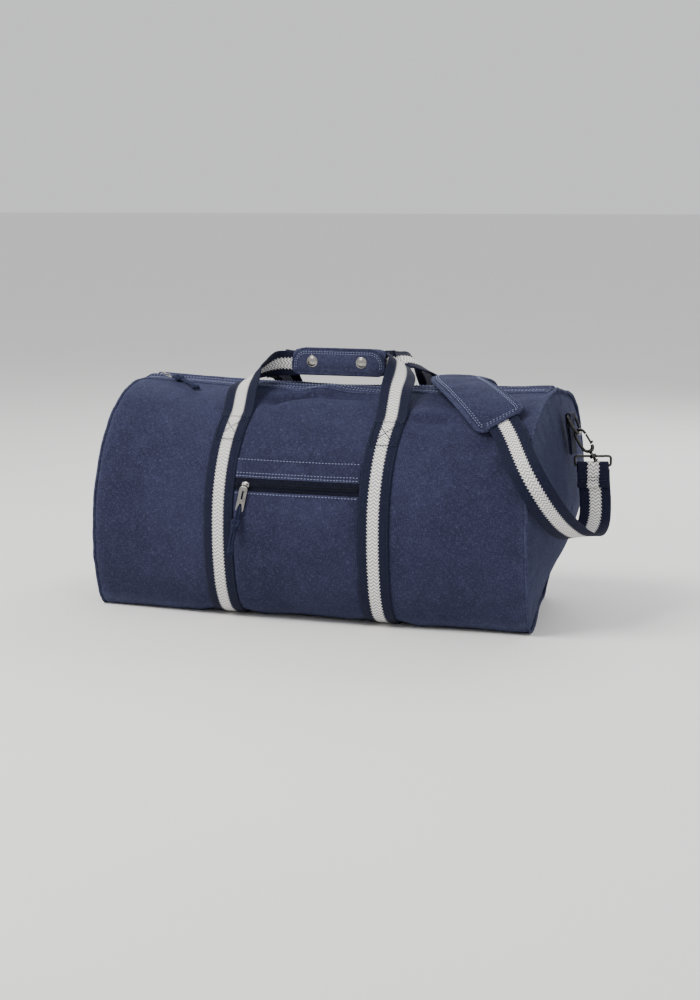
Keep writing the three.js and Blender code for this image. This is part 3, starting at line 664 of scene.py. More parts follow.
def pad_corner(t):
    """Share of the pad's full width left at a fraction along it: its corners are rounded off."""
    near = np.clip(np.minimum(t, 1 - t) * pad_length / 0.013, 0, 1)
    return 1 - 0.36 * (1 - np.sqrt(1 - (1 - near) ** 2))


def pad_mesh():
    """A pillow section: full in the middle, thin at its bound edges, open at both ends for the strap."""
    n = len(pad_path)
    ring = 56
    a = 2 * math.pi * np.arange(ring) / ring
    across = np.sign(np.cos(a)) * np.abs(np.cos(a)) ** 0.62
    height = np.sign(np.sin(a)) * np.abs(np.sin(a)) ** 0.8
    t = np.linspace(0, 1, n)
    ends = 1 - 0.45 * (bell(t, 0, 0.035) + bell(t, 1, 0.035))
    crease = 1 - 0.16 * bell(t, 0.42, 0.03) - 0.1 * bell(t, 0.55, 0.025) - 0.12 * bell(t, 0.7, 0.03)
    edge_dip = 0.0016 * bell(np.abs(across), 0.86, 0.05)
    half = PAD_THICK / 2 * np.outer(ends * crease, height * (1 - 0.25 * across**2))
    ripple = 0.00055 * noise2(t[:, None] * 22, across[None, :] * 2.2, 3) * (np.abs(height)[None, :] ** 0.5)
    half = half + np.sign(half) * (ripple - edge_dip[None, :] * np.abs(height)[None, :])
    corner = pad_corner(t)
    wave = 1 + 0.012 * noise2(t * 14, 0.5, 4)
    wide = (PAD_WIDTH / 2) * np.outer(corner * wave, across)
    points = pad_path[:, None] + wide[:, :, None] * pad_across[:, None] + half[:, :, None] * pad_out[:, None]
    lay = np.zeros((n, ring, 3))
    lay[..., 0] = wide
    lay[..., 1] = (t * pad_length)[:, None]
    wear = (
        0.75 * smooth(0.9, 1.0, np.abs(across))[None, :]
        + 0.5 * (bell(t, 0, 0.015) + bell(t, 1, 0.015))[:, None]
    )
    flat = points.reshape(-1, 3)
    return flat, tube_faces(flat, n, ring), lay.reshape(-1, 3), wear.ravel()


pad = piece("shoulder_pad_sleeve", pad_mesh(), CANVAS, "bag", "shoulder_pad")

PAD_SHARE = pad_corner(np.linspace(0, 1, len(pad_path)))[:, None]


def pad_line(offset, height):
    """Closed line on the pad's upper face, offset inwards from its edge."""
    lo = int(offset / pad_length * PAD_STEPS)
    hi = PAD_STEPS - lo
    side = PAD_SHARE * PAD_WIDTH / 2 - offset
    up = pad_out * (0.8 * height)
    first = (pad_path + pad_across * side + up)[lo : hi + 1]
    last = (pad_path - pad_across * side + up)[lo : hi + 1][::-1]
    bridge = lambda a, b: [a + (b - a) * s for s in np.linspace(0, 1, 12)[1:-1]]
    ring = np.vstack([first, bridge(first[-1], last[0]), last, bridge(last[-1], first[0])])
    normals = np.vstack(
        [pad_out[lo : hi + 1], [pad_out[hi]] * 10, pad_out[lo : hi + 1][::-1], [pad_out[lo]] * 10]
    )
    return ring, normals


# Bound edge: a folded tape whose round lip runs along both long sides and across both mouths.
binding = []
for sign in (-1, 1):
    lip = pad_path + pad_across * sign * (PAD_SHARE * PAD_WIDTH / 2 - 0.0006)
    binding.append(tube_mesh(lip, 0.0023, 10, squash=0.95))
for end, face in ((0, -1), (-1, 1)):
    for rise in (-1, 1):
        row = [
            pad_path[end] + pad_across[end] * s * (0.64 * PAD_WIDTH / 2 - 0.001)
            + pad_out[end] * rise * (0.0033 - 0.001 * s * s) for s in np.linspace(-1, 1, 24)
        ]
        binding.append(tube_mesh(np.array(row), 0.00165, 10))
piece("shoulder_pad_binding", self_laid(join_meshes(*binding)), CANVAS_DEEP, "bag", wear=0.3)
lines = []
for offset, height in ((0.0052, 0.00435), (0.0078, 0.0049)):
    ring, normals = pad_line(offset, height)
    lines.append(stitch_mesh(ring, normals, pitch=0.0044, length=0.0028))
piece("shoulder_pad_stitches", join_meshes(*lines), SEAM_THREAD, "bag")


# ---- pull cords: two strands through each tab, with their knot ----
MAIN_PIVOT = Vector((-0.250, 0, 0.2914))
main_turn = Matrix.Rotation(math.radians(50), 4, "Z") @ Matrix.Rotation(math.radians(-86), 4, "X")
main_pull_frame = Matrix.Translation(MAIN_PIVOT) @ main_turn
POCKET_PIVOT = Vector((-0.066, -0.1617, 0.1733))
pocket_pull_frame = Matrix.Translation(POCKET_PIVOT) @ Matrix.Rotation(math.radians(-10), 4, "X")
pocket_pull_frame = pocket_pull_frame @ Matrix.Rotation(math.radians(9), 4, "Y")
STRAND = 0.0036
STRAND_SIDES = 10
BRAID_LENGTH = 0.062


def strand_lines(bend, tail):
    """Two strands from the tab's lower slot through the knot to their tails, in the tab's frame, in mm."""
    end = -60 - 28 * tail
    rows = []
    for sign in (-1, 1):
        rows.append([
            (1.1 * sign, 0, -27.6), (1.8 * sign, bend(-32) - 0.3, -32), (1.8 * sign, bend(-38), -38),
            (1.6 * sign, bend(-45) + 0.4 * sign, -45), (1.2 * sign, bend(-52) + 0.5 * sign, -52),
            (0.9 * sign, bend(-57) - 0.6 * sign, -57), (1.7 * sign, bend(-63) + 0.2 * sign, -63),
            (1.9 * sign, bend(-60 - 11 * tail), -60 - 11 * tail),
            (1.8 * sign + 0.5, bend(-60 - 20 * tail), -60 - 20 * tail),
            (1.7 * sign + 0.9, bend(end - sign), end - 1.5 * sign),
        ])
    return rows


def knot_path(size):
    """A trefoil, flattened along Y: the two strands tied once round themselves."""
    t = np.linspace(0, 2 * math.pi, 97)[:-1]
    x = (np.sin(t) + 2 * np.sin(2 * t)) / 3
    z = (np.cos(t) - 2 * np.cos(2 * t)) / 3
    y = -np.sin(3 * t) / 3
    return np.stack([x * size[0], y * size[1], z * size[2]], axis=1)


def braid_lay(rings):
    """Each point's place in a strand's braid: round it, then along it."""
    lay = np.zeros((rings * STRAND_SIDES, 3))
    lay[:, 0] = np.tile(np.arange(STRAND_SIDES), rings) * 0.00105
    lay[:, 1] = np.repeat(np.linspace(0, BRAID_LENGTH, rings), STRAND_SIDES)
    return lay


def pull_cord(prefix, frame_matrix, bend, tail, body, node):
    knots = []
    for size, thick, z, x in (
        ((0.0046, 0.0042, 0.0078), 0.0024, -52, 0), ((0.0034, 0.0030, 0.0042), 0.0020, -56 - 28 * tail, 0.8),
    ):
        turn = Matrix.Translation((x * MM, bend(z) * MM, z * MM))
        knots.append(moved(tube_mesh(knot_path(size), thick, 12, closed=True), turn, frame_matrix))
    knot_piece = piece(f"{prefix}_knot", self_laid(join_meshes(*knots)), CORD, body, wear=0.12)
    for name, row in zip(("a", "b"), strand_lines(bend, tail)):
        line = spline(np.array(row) * MM, 70)
        fray = 1 + 0.05 * noise2(np.linspace(0, 14, len(line)), 0.3, 5)
        fray[-4:] *= np.array([1.0, 1.05, 1.1, 1.05])
        points, faces = moved(tube_mesh(line, STRAND / 2 * fray, STRAND_SIDES), frame_matrix)
        mesh = (points, faces, braid_lay(len(line)))
        strand = piece(f"{prefix}_cord_{name}", mesh, CORD, body, node, 0.1)


def main_bend(z):
    return float(np.interp(-z, (27.6, 34.4, 50, 66, 84, 104), (0, -0.4, -2.2, -1.2, 0.6, 4.0)))


def pocket_bend(z):
    return -0.13 * max(0.0, -z - 30) + 0.0029 * max(0.0, -z - 45) ** 2


pull_cord("main_pull", main_pull_frame, main_bend, 1.45, "main_pull", "main_pull_cord")
pull_cord("pocket_pull", pocket_pull_frame, pocket_bend, 1.0, "pocket_pull", "pocket_pull_cord")


# ---- body: one sagging skin that every layer is laid on ----
LEFT_END, RIGHT_END = -0.284, 0.289
CLOTH_THICK = 0.0016
SECTION_STEPS = 400
MIDDLE_SECTION = [
    (92, 3.1), (103, 3.1), (117, 5.0), (137, 15), (151.5, 38), (160, 75), (162.5, 112), (160, 152),
    (151.5, 190),
    (136, 223), (115, 246.5), (88, 264), (56, 275.5), (22, 282), (0, 283.5),
]
END_SECTION = [
    (92, 3.1), (104, 3.1), (113, 3.6), (123, 8.5), (133, 26), (142.5, 56), (149, 95), (151.5, 130),
    (149, 168),
    (140.5, 207), (125, 238), (103, 261.5), (76, 276), (34, 286.5), (0, 289.5),
]
middle_table = spline(np.array(MIDDLE_SECTION) * MM, SECTION_STEPS)
end_table = spline(np.array(END_SECTION) * MM, SECTION_STEPS)
HALF_GIRTH = run_length(middle_table)
WEB_X = 0.102
WEB_WIDTH = 0.040

# Soft folds as (side, x0, s0, x1, s1, width, height): s runs up the half section from 0 to 1.
FOLDS = [
    (-1, -0.075, 0.865, 0.010, 0.940, 0.008, 0.0066), (-1, -0.078, 0.820, -0.030, 0.885, 0.017, -0.0150),
    (-1, -0.030, 0.885, 0.065, 0.900, 0.014, -0.0095), (-1, -0.050, 0.80, 0.070, 0.81, 0.020, 0.0044),
    (-1, 0.125, 0.735, 0.185, 0.745, 0.008, -0.0060), (-1, 0.125, 0.765, 0.195, 0.785, 0.011, 0.0036),
    (-1, 0.235, 0.62, 0.285, 0.80, 0.012, -0.0030), (-1, 0.215, 0.66, 0.262, 0.84, 0.010, 0.0022),
    (-1, 0.240, 0.50, 0.285, 0.60, 0.013, -0.0022), (-1, -0.280, 0.74, -0.215, 0.70, 0.012, -0.0018),
    (-1, -0.270, 0.62, -0.225, 0.54, 0.015, 0.0015), (-1, -0.190, 0.70, -0.135, 0.58, 0.018, 0.0016),
    (-1, -0.170, 0.80, -0.128, 0.70, 0.012, -0.0018), (-1, 0.150, 0.30, 0.250, 0.22, 0.025, -0.0014),
    (-1, -0.260, 0.16, -0.140, 0.13, 0.010, -0.0014), (-1, 0.150, 0.13, 0.260, 0.16, 0.010, -0.0016),
    (1, -0.070, 0.80, 0.040, 0.86, 0.012, 0.0034), (1, -0.060, 0.765, 0.030, 0.80, 0.014, -0.0040),
    (1, 0.130, 0.62, 0.235, 0.56, 0.016, -0.0026), (1, -0.250, 0.66, -0.150, 0.60, 0.015, -0.0024),
    (1, -0.235, 0.80, -0.130, 0.74, 0.013, 0.0022), (1, 0.190, 0.78, 0.275, 0.70, 0.014, 0.0020),
    (1, -0.060, 0.35, 0.070, 0.30, 0.022, -0.0018), (1, 0.140, 0.18, 0.260, 0.22, 0.016, -0.0016),
]


def web_mask(x):
    """1 on and beside a webbing band, 0 away from it."""
    return np.maximum(smooth(0.046, 0.024, np.abs(x - WEB_X)), smooth(0.046, 0.024, np.abs(x + WEB_X)))


def displaced(x, u, side):
    """How far the cloth stands out of its smooth section: slack, folds, puckers at the seams."""
    s = u * HALF_GIRTH
    key = 10 if side > 0 else 3
    out = 0.0024 * noise2(x * 8.5 + 11, s * 8.5 + key, 0) + 0.0011 * noise2(x * 21 + 5, s * 19 + key, 1)
    out = out + 0.00042 * noise2(x * 55, s * 48 + key, 2)
    free = 1 - 0.75 * web_mask(x)
    out = out * free
    for fold_side, x0, s0, x1, s1, width, height in FOLDS:
        if fold_side != side:
            continue
        a, b = np.array([x0, s0 * HALF_GIRTH]), np.array([x1, s1 * HALF_GIRTH])
        axis = (b - a) / np.linalg.norm(b - a)
        dx, ds = x - a[0], s - a[1]
        run = (dx * axis[0] + ds * axis[1]) / np.linalg.norm(b - a)
        off = -dx * axis[1] + ds * axis[0]
        off = off + 0.004 * np.sin(run * 3.2 + x0 * 40)
        out = out + height * bell(off, 0, width) * smooth(-0.35, 0.2, run) * smooth(1.35, 0.8, run) * free
    # The end seams gather the cloth into short ripples.
    for seam, sign in ((LEFT_END, 1), (RIGHT_END, -1)):
        away = (x - seam) * sign
        ripple = noise2(s * 62 + 3 * sign + key, away * 10, 6) + 0.6 * noise2(s * 118, away * 14 + key, 8)
        out = (
            out + 0.0011 * ripple * np.exp(-np.maximum(away, 0) / 0.020)
            - 0.0022 * np.exp(-np.maximum(away, 0) / 0.006)
        )
    # Small puckers along both edges of each webbing band.
    for middle in (-WEB_X, WEB_X):
        beside = np.abs(np.abs(x - middle) - WEB_WIDTH / 2)
        out = out + (0.0004 * noise2(s * 95 + middle * 50, key, 7) - 0.0007) * np.exp(-beside / 0.0045)
    fade = smooth(0.0, 0.07, u) * smooth(1.02, 0.96, u)
    return out * fade


def lean(x, z):
    """The ends lean towards the middle at the top."""
    left, right = smooth(-0.10, LEFT_END, x), smooth(0.10, RIGHT_END, x)
    rise = smooth(0.05, 0.30, z)
    return left * 0.0175 * rise - right * 0.002 * rise


def end_share(x):
    """0 in the bag's middle, 1 at its end seams."""
    return np.clip(np.abs(np.asarray(x, float) - 0.003) / 0.2865, 0, 1) ** 2.6


def surface(x, u, side):
    """Points of the front (side -1) or rear (side 1) skin; u runs from 0 at the base to 1 at the crest."""
    x, u = np.broadcast_arrays(np.asarray(x, float), np.asarray(u, float))
    share = end_share(x)[..., None]
    at = np.clip(u, 0, 1) * SECTION_STEPS
    i = np.minimum(at.astype(int), SECTION_STEPS - 1)
    f = (at - i)[..., None]
    mid = middle_table[i] * (1 - f) + middle_table[i + 1] * f
    end = end_table[i] * (1 - f) + end_table[i + 1] * f
    yz = mid * (1 - share) + end * share
    mid_step, end_step = middle_table[i + 1] - middle_table[i], end_table[i + 1] - end_table[i]
    along = unit(mid_step * (1 - share) + end_step * share)
    out = displaced(x, u, side)
    y = yz[..., 0] + out * along[..., 1]
    z = yz[..., 1] - out * along[..., 0]
    z = z - 0.0022 * (1 - web_mask(x)) * smooth(0.022, 0.004, z)
    return np.stack([x + lean(x, z), side * y, z], axis=-1)


def skin(x, u, side, out):
    """Points on the skin moved outwards, with the skin's normals."""
    x, u = np.asarray(x, float), np.asarray(u, float)
    step_x, step_u = 0.0015, 1e-3
    p = surface(x, u, side)
    du = surface(x, np.minimum(u + step_u, 1), side) - surface(x, np.maximum(u - step_u, 0), side)
    dx = surface(x + step_x, u, side) - surface(x - step_x, u, side)
    normal = unit(np.cross(dx, du)) * (1.0 if side < 0 else -1.0)
    return p + np.asarray(out, float)[..., None] * normal, normal


def u_at(z, x=0.0):
    """Fraction up the front skin at which it reaches a height, at some place along the bag."""
    us = np.linspace(0.02, 1, 1500)
    return float(np.interp(z, surface(np.full(1500, x), us, -1)[:, 2], us))


MOUTH_U = 0.979


def sheet_faces(rows, columns):
    """Two layers of a grid, the second turned over, joined by a wall round the rim."""
    count = rows * columns
    rim = [i * columns for i in range(rows)] + [(rows - 1) * columns + j for j in range(1, columns)]
    rim += [i * columns + columns - 1 for i in range(rows - 2, -1, -1)] + list(range(columns - 2, 0, -1))
    wall = [[rim[k], rim[k - 1], rim[k - 1] + count, rim[k] + count] for k in range(len(rim))]
    return (
        grid_faces(rows, columns).tolist() + grid_faces(rows, columns, start=count, flip=True).tolist() + wall
    )


def laid(name, xs, us, side, low, high, material, replaces=(), wear=None):
    """A sheet of cloth laid on the skin between two offsets, closed round its edges."""
    gx, gu = np.meshgrid(xs, us, indexing="ij")
    high = np.broadcast_to(high(gx, gu) if callable(high) else high, gx.shape)
    low = np.broadcast_to(low(gx, gu) if callable(low) else low, gx.shape)
    edge = np.minimum.reduce(
        [gx - gx.min(), gx.max() - gx, (gu - gu.min()) * HALF_GIRTH, (gu.max() - gu) * HALF_GIRTH]
    )
    rounding = np.sqrt(np.clip(edge / 0.0012, 0.12, 1))
    top, _ = skin(gx, gu, side, low + (high - low) * rounding)
    under, _ = skin(gx, gu, side, low)
    points = np.vstack([top.reshape(-1, 3), under.reshape(-1, 3)])
    faces = sheet_faces(*gx.shape)
    lay = np.stack([gx, gu * HALF_GIRTH, np.zeros_like(gx)], axis=-1).reshape(-1, 3)
    worn = np.zeros(gx.shape) if wear is None else wear(gx, gu, edge)
    worn = np.concatenate([worn.ravel()] * 2)
    piece(
        name, (points, outward_grid(points, faces), np.vstack([lay, lay]), worn), material, "bag",
        replaces,
    )


def outward_grid(points, faces):
    """The same faces, all turned if the closed mesh is inside out; triangles are summed in one go."""
    p = np.asarray(points)
    q = np.array([f for f in faces if len(f) == 4])
    volume = np.einsum("ij,ij->", p[q[:, 0]], np.cross(p[q[:, 1]], p[q[:, 2]]))
    volume += np.einsum("ij,ij->", p[q[:, 0]], np.cross(p[q[:, 2]], p[q[:, 3]]))
    return faces if volume > 0 else [list(f)[::-1] for f in faces]


def panel_wear(gx, gu, edge):
    seam = np.exp(-np.minimum(gx - LEFT_END, RIGHT_END - gx) / 0.0035)
    return 0.55 * seam + 0.25 * smooth(0.93, 0.99, gu) + 0.3 * bell(gu, 0.085, 0.02)


FINE = 2
panel_x = np.linspace(LEFT_END, RIGHT_END, 150 * FINE + 1)
panel_u = np.concatenate([np.linspace(0, 0.12, 20 * FINE), np.linspace(0.12, MOUTH_U, 75 * FINE)[1:]])
laid("front_cloth", panel_x, panel_u, -1, -CLOTH_THICK, 0.0, CANVAS, "front_panel", panel_wear)
laid("rear_cloth", panel_x, panel_u, 1, -CLOTH_THICK, 0.0, CANVAS, "rear_panel", panel_wear)


def base_mesh():
    xs, ys = np.linspace(LEFT_END, RIGHT_END, 150), np.linspace(-0.0935, 0.0935, 60)
    gx, gy = np.meshgrid(xs, ys, indexing="ij")
    low = (
        0.0031 - 0.0022 * (1 - web_mask(gx)) + 0.0006 * (1 + noise2(gx * 20, gy * 20, 9)) * (1 - web_mask(gx))
    )
    thick = 0.0018
    points = np.vstack([
        np.stack([gx, gy, low], axis=-1).reshape(-1, 3),
        np.stack([gx, gy, low + thick], axis=-1).reshape(-1, 3),
    ])
    return points, outward_grid(points, sheet_faces(*gx.shape))


piece("base_cloth", self_laid(base_mesh()), CANVAS, "bag", "base_panel", 0.0)


# ---- end panels: each a bulged cap gathered into its seam ----
def end_rim(x, inset):
    """The seam's closed line at one end of the body, from the base's middle round the front, top and rear."""
    us = np.concatenate([np.linspace(0, 0.12, 22)[:-1], np.linspace(0.12, 1, 96)])
    front, _ = skin(np.full(len(us), x), us, -1, np.full(len(us), inset))
    rear, _ = skin(np.full(len(us), x), us, 1, np.full(len(us), inset))
    bottom = [(y, front[0, 2]) for y in np.linspace(0.086, -0.086, 24)]
    low = np.array([(front[0, 0], y, z) for y, z in bottom])
    return np.vstack([front, rear[::-1][1:], low])


def end_cap(name, x, side, bulge, node, seed):
    rim = end_rim(x, -0.0008)
    centre = np.array([x, 0.0, 0.140])
    radii = np.concatenate([np.linspace(1, 0.9, 9), np.linspace(0.9, 0.006, 46)[1:]])
    angle = np.linspace(0, 1, len(rim))
    rings = []
    lays, wears = [], []
    for r in radii:
        ring = centre + (rim - centre) * np.array([1, r, r])
        z = ring[:, 2]
        swell = smooth(-0.03, 0.10, z) * (1 - 0.45 * smooth(0.15, 0.30, z))
        out = bulge * (1 - r**2.2) * swell
        gather = 0.0016 * noise2(angle * 74, 3 + r * 5, seed)
        gather = gather + 0.0011 * noise2(angle * 33, 9 + r * 3, seed + 1)
        slack = 0.0026 * noise2(ring[:, 1] * 13 + seed, ring[:, 2] * 13, seed + 2) * smooth(1.0, 0.75, r)
        out = out + gather * np.exp(-(1 - r) / 0.16) * smooth(1.0, 0.97, r) + slack
        out = out - 0.0022 * bell(r, 0.985, 0.012)
        ring[:, 0] = rim[:, 0] + (x - rim[:, 0]) * (1 - r) * 0.55 + side * out
        rings.append(ring)
        lays.append(np.stack([ring[:, 1], ring[:, 2], np.zeros(len(ring))], axis=1))
        wears.append(np.full(len(ring), 0.6 * math.exp(-(1 - r) / 0.03)))
    outer = np.array(rings)
    inner = outer - np.array([side * CLOTH_THICK, 0, 0])
    sheet = np.vstack([outer.reshape(-1, 3), inner.reshape(-1, 3)])
    rows, columns = outer.shape[:2]
    count = rows * columns
    faces = grid_faces(rows, columns, wrap_columns=True).tolist()
    faces += grid_faces(rows, columns, wrap_columns=True, start=count, flip=True).tolist()
    first = [[j, (j + 1) % columns, (j + 1) % columns + count, j + count] for j in range(columns)]
    faces += [f[::-1] for f in first]
    last = (rows - 1) * columns
    faces += [[last + j for j in range(columns)][::-1], [last + count + j for j in range(columns)]]
    lay = np.vstack([np.vstack(lays)] * 2)
    wear = np.concatenate([np.concatenate(wears)] * 2)
    piece(name, (sheet, outward(sheet, faces), lay, wear), CANVAS, "bag", node)
    # Piping: the seam allowance rolled into a round welt.
    welt = end_rim(x + side * 0.0008, 0.0002)
    step = np.linalg.norm(np.diff(np.vstack([welt, welt[:1]]), axis=0), axis=1).cumsum()
    radius = 0.0019 * (1 + 0.1 * noise2(step * 160, 1.5, seed))
    points, faces = tube_mesh(welt, radius, 10, closed=True)
    points[:, 2] = np.maximum(points[:, 2], 0.0004)
    piece(name.replace("cloth", "piping"), (points, faces, points), CANVAS_DEEP, "bag", wear=0.35)


end_cap("left_end_cloth", LEFT_END, -1, 0.0255, "left_end_panel", 11)
end_cap("right_end_cloth", RIGHT_END, 1, 0.0205, "right_end_panel", 12)

# ---- webbing bands, sewn to the body ----
WEB_THICK = 0.0021
WEB_TOP = 0.2515
WEB_SEAM = WEB_WIDTH / 2 - 0.0022
WEB_STITCH = (0.0033, 0.0024)
BOX_HEIGHT = 0.038


def band_x(end, side, u):
    """Middle of a webbing band: the front bands are drawn a little to the right as they climb."""
    return end * WEB_X + (0.004 if side < 0 else 0.0) * smooth(0.42, 0.78, np.asarray(u, float))


def band_on_skin(name, end, side, node):
    """A band of webbing laid on the skin from the base's edge to where its handle leaves it."""
    top_u = u_at(WEB_TOP, end * WEB_X)
    us = np.linspace(0.004, top_u, 190)
    section = rounded_section(WEB_WIDTH, WEB_THICK, 16)
    gx = band_x(end, side, us)[:, None] + section[:, 0][None, :]
    gu = us[:, None] + np.zeros((1, len(section)))
    sunk = 0.0005 * bell(np.abs(section[:, 0]), WEB_SEAM, 0.0012)
    points, _ = skin(
        gx, gu, side, 0.00025 + section[:, 1][None, :] - (sunk * (section[:, 1] > WEB_THICK / 2))[None, :],
    )
    lay = np.stack([section[:, 0][None, :] + 0 * gu, gu * HALF_GIRTH, 0 * gu], axis=-1)
    flat = points.reshape(-1, 3)
    mesh = (flat, tube_faces(flat, len(us), len(section)), lay.reshape(-1, 3))
    piece(name, mesh, STRIPED, "bag", node)
    return top_u


def line_on_skin(x, u, side, out):
    """Points and normals along a line given by arrays of x and u."""
    x, u = np.broadcast_arrays(np.asarray(x, float), np.asarray(u, float))
    return skin(x, u, side, np.full(x.shape, out))


sides = (("front", -1), ("rear", 1))
ends = (("left", -1), ("right", 1))
band_threads, box_threads = [], []
for side_name, side in sides:
    for end_name, end in ends:
        top_u = band_on_skin(
            f"webbing_band_{side_name}_{end_name}", end, side, f"webbing_{side_name}_{end_name}",
        )
        for edge in (-1, 1):
            us = np.linspace(0.01, top_u, 160)
            line, out = line_on_skin(band_x(end, side, us) + edge * WEB_SEAM, us, side, WEB_THICK + 0.0002)
            band_threads.append(stitch_mesh(line, out, *WEB_STITCH))
        # The box with its cross that holds the handle.
        low_u, high_u = top_u - BOX_HEIGHT / HALF_GIRTH, top_u - 0.0025 / HALF_GIRTH
        reach = WEB_WIDTH / 2 - 0.0035
        corners = [
            (-reach, low_u), (reach, low_u), (reach, high_u), (-reach, high_u), (-reach, low_u),
            (reach, high_u),
        ]
        corners += [(reach, low_u), (-reach, high_u)]
        for (xa, ua), (xb, ub) in zip(corners[:-1], corners[1:]):
            run = np.linspace(0, 1, 24)
            u = ua + (ub - ua) * run
            line, out = line_on_skin(band_x(end, side, u) + xa + (xb - xa) * run, u, side, WEB_THICK + 0.0010)
            box_threads.append(stitch_mesh(line, out, pitch=0.0032, length=0.0028, radius=0.0006))
piece("webbing_edge_stitches", join_meshes(*band_threads), DARK_THREAD, "bag")
piece("handle_box_stitches", join_meshes(*box_threads), DARK_THREAD, "bag")

for end_name, end in ends:
    row = np.array([(end * WEB_X, y, 0.0014) for y in np.linspace(-0.095, 0.095, 60)])
    piece(
        f"webbing_under_{end_name}",
        strip_mesh(row, rows_of([1.0, 0, 0], 60), rows_of([0, 0, 1.0], 60), WEB_WIDTH, 0.0022), STRIPED,
        "bag", f"webbing_base_{end_name}",
    )


# ---- handle legs: free webbing from the bands up into the grip ----
GRIP_X = 0.003
LEG_ROUTES = {
    # slack: folded over low down, then arched into the grip
    "left": [
        [[102, 115.5, 253.5], [0, 0.68, 0.73]], [[102.5, 97, 269], [0, 0.66, 0.75]],
        [[104, 76, 283], [0.05, 0.7, 0.7]], [[105, 58, 292], [0.35, 0.72, 0.6]],
        [[102.5, 42, 298.5], [0.75, 0.4, 0.55]], [[97, 29, 304], [0.7, -0.2, 0.7]],
        [[90, 18.5, 308.5], [0.4, -0.7, 0.55]], [[83, 11, 311], [0.15, -0.95, 0.25]],
        [[76, 7, 311.2], [0.05, -1, 0.08]], [[62, 4.8, 311], [0, -1, 0.02]],
    ],
    # taut
    "right": [
        [[102, 115.5, 253.5], [0, 0.68, 0.73]], [[102, 95, 270], [0, 0.65, 0.76]],
        [[101, 71, 288], [0.1, 0.75, 0.65]], [[98, 47, 304], [0.5, 0.75, 0.45]],
        [[91.5, 27, 315], [0.75, 0.3, 0.6]], [[83, 13.5, 317.5], [0.4, -0.4, 0.8]],
        [[76, 7, 315.2], [0.1, -0.95, 0.12]], [[62, 4.6, 314.4], [0, -1, 0.02]],
    ],
}
for side_name, side in sides:
    for end_name, end in ends:
        shift = -2 * GRIP_X / MM if end < 0 else 0
        start_u = u_at(WEB_TOP, end * WEB_X) - 0.0035 / HALF_GIRTH
        x0 = float(band_x(end, side, start_u))
        first, first_out = skin(
            np.array([x0, x0]), np.array([start_u, start_u + 0.022]), side, np.full(2, WEB_THICK * 0.35),
        )
        route = []
        legs = LEG_ROUTES[end_name]
        for i, ((x, y, z), (nx, ny, nz)) in enumerate(legs):
            route.append([[end * (x + shift * i / (len(legs) - 1)), side * y, z], [end * nx, side * ny, nz]])
        for k in (0, 1):
            route[k] = [(first[k] / MM).tolist(), first_out[k].tolist()]
        path, across, out = ribbon_frame(route, 120)
        t = np.linspace(0, 1, len(path))
        widths = 1 - 0.2 * smooth(0.62, 0.95, t)
        points, faces, lay = strip_mesh(path, across, out, WEB_WIDTH, WEB_THICK, widths=widths)
        lay[:, 0] = lay[:, 0] * np.repeat(widths, len(lay) // len(path))
        leg_name = f"handle_leg_{side_name}_{end_name}"
        leg = piece(f"{leg_name}_webbing", (points, faces, lay), STRIPED, None, leg_name)
        threads = []
        for edge in (-1, 1):
            line = path + across * (edge * WEB_SEAM * widths)[:, None] + out * (WEB_THICK + 0.0001)
            threads.append(stitch_mesh(line, out, *WEB_STITCH))
        thread = piece(f"{leg_name}_stitches", join_meshes(*threads), DARK_THREAD, None)
        for obj in (leg, thread):
            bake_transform(obj)


# ---- grip: a canvas wrap closed by a snapped flap, over the two webbing runs ----
GRIP_HALF = 0.063
GRIP_LOW, GRIP_HIGH = 0.297, 0.332


def rounded_rectangle(half_u, half_v, r, steps):
    points = []
    for cu, cv, a0 in (
        (half_u - r, half_v - r, 0), (-half_u + r, half_v - r, 90), (-half_u + r, -half_v + r, 180),
        (half_u - r, -half_v + r, 270),
    ):
        for a in np.radians(a0 + np.linspace(0, 90, steps)):
            points.append((cu + r * math.cos(a), cv + r * math.sin(a)))
    return np.array(points)


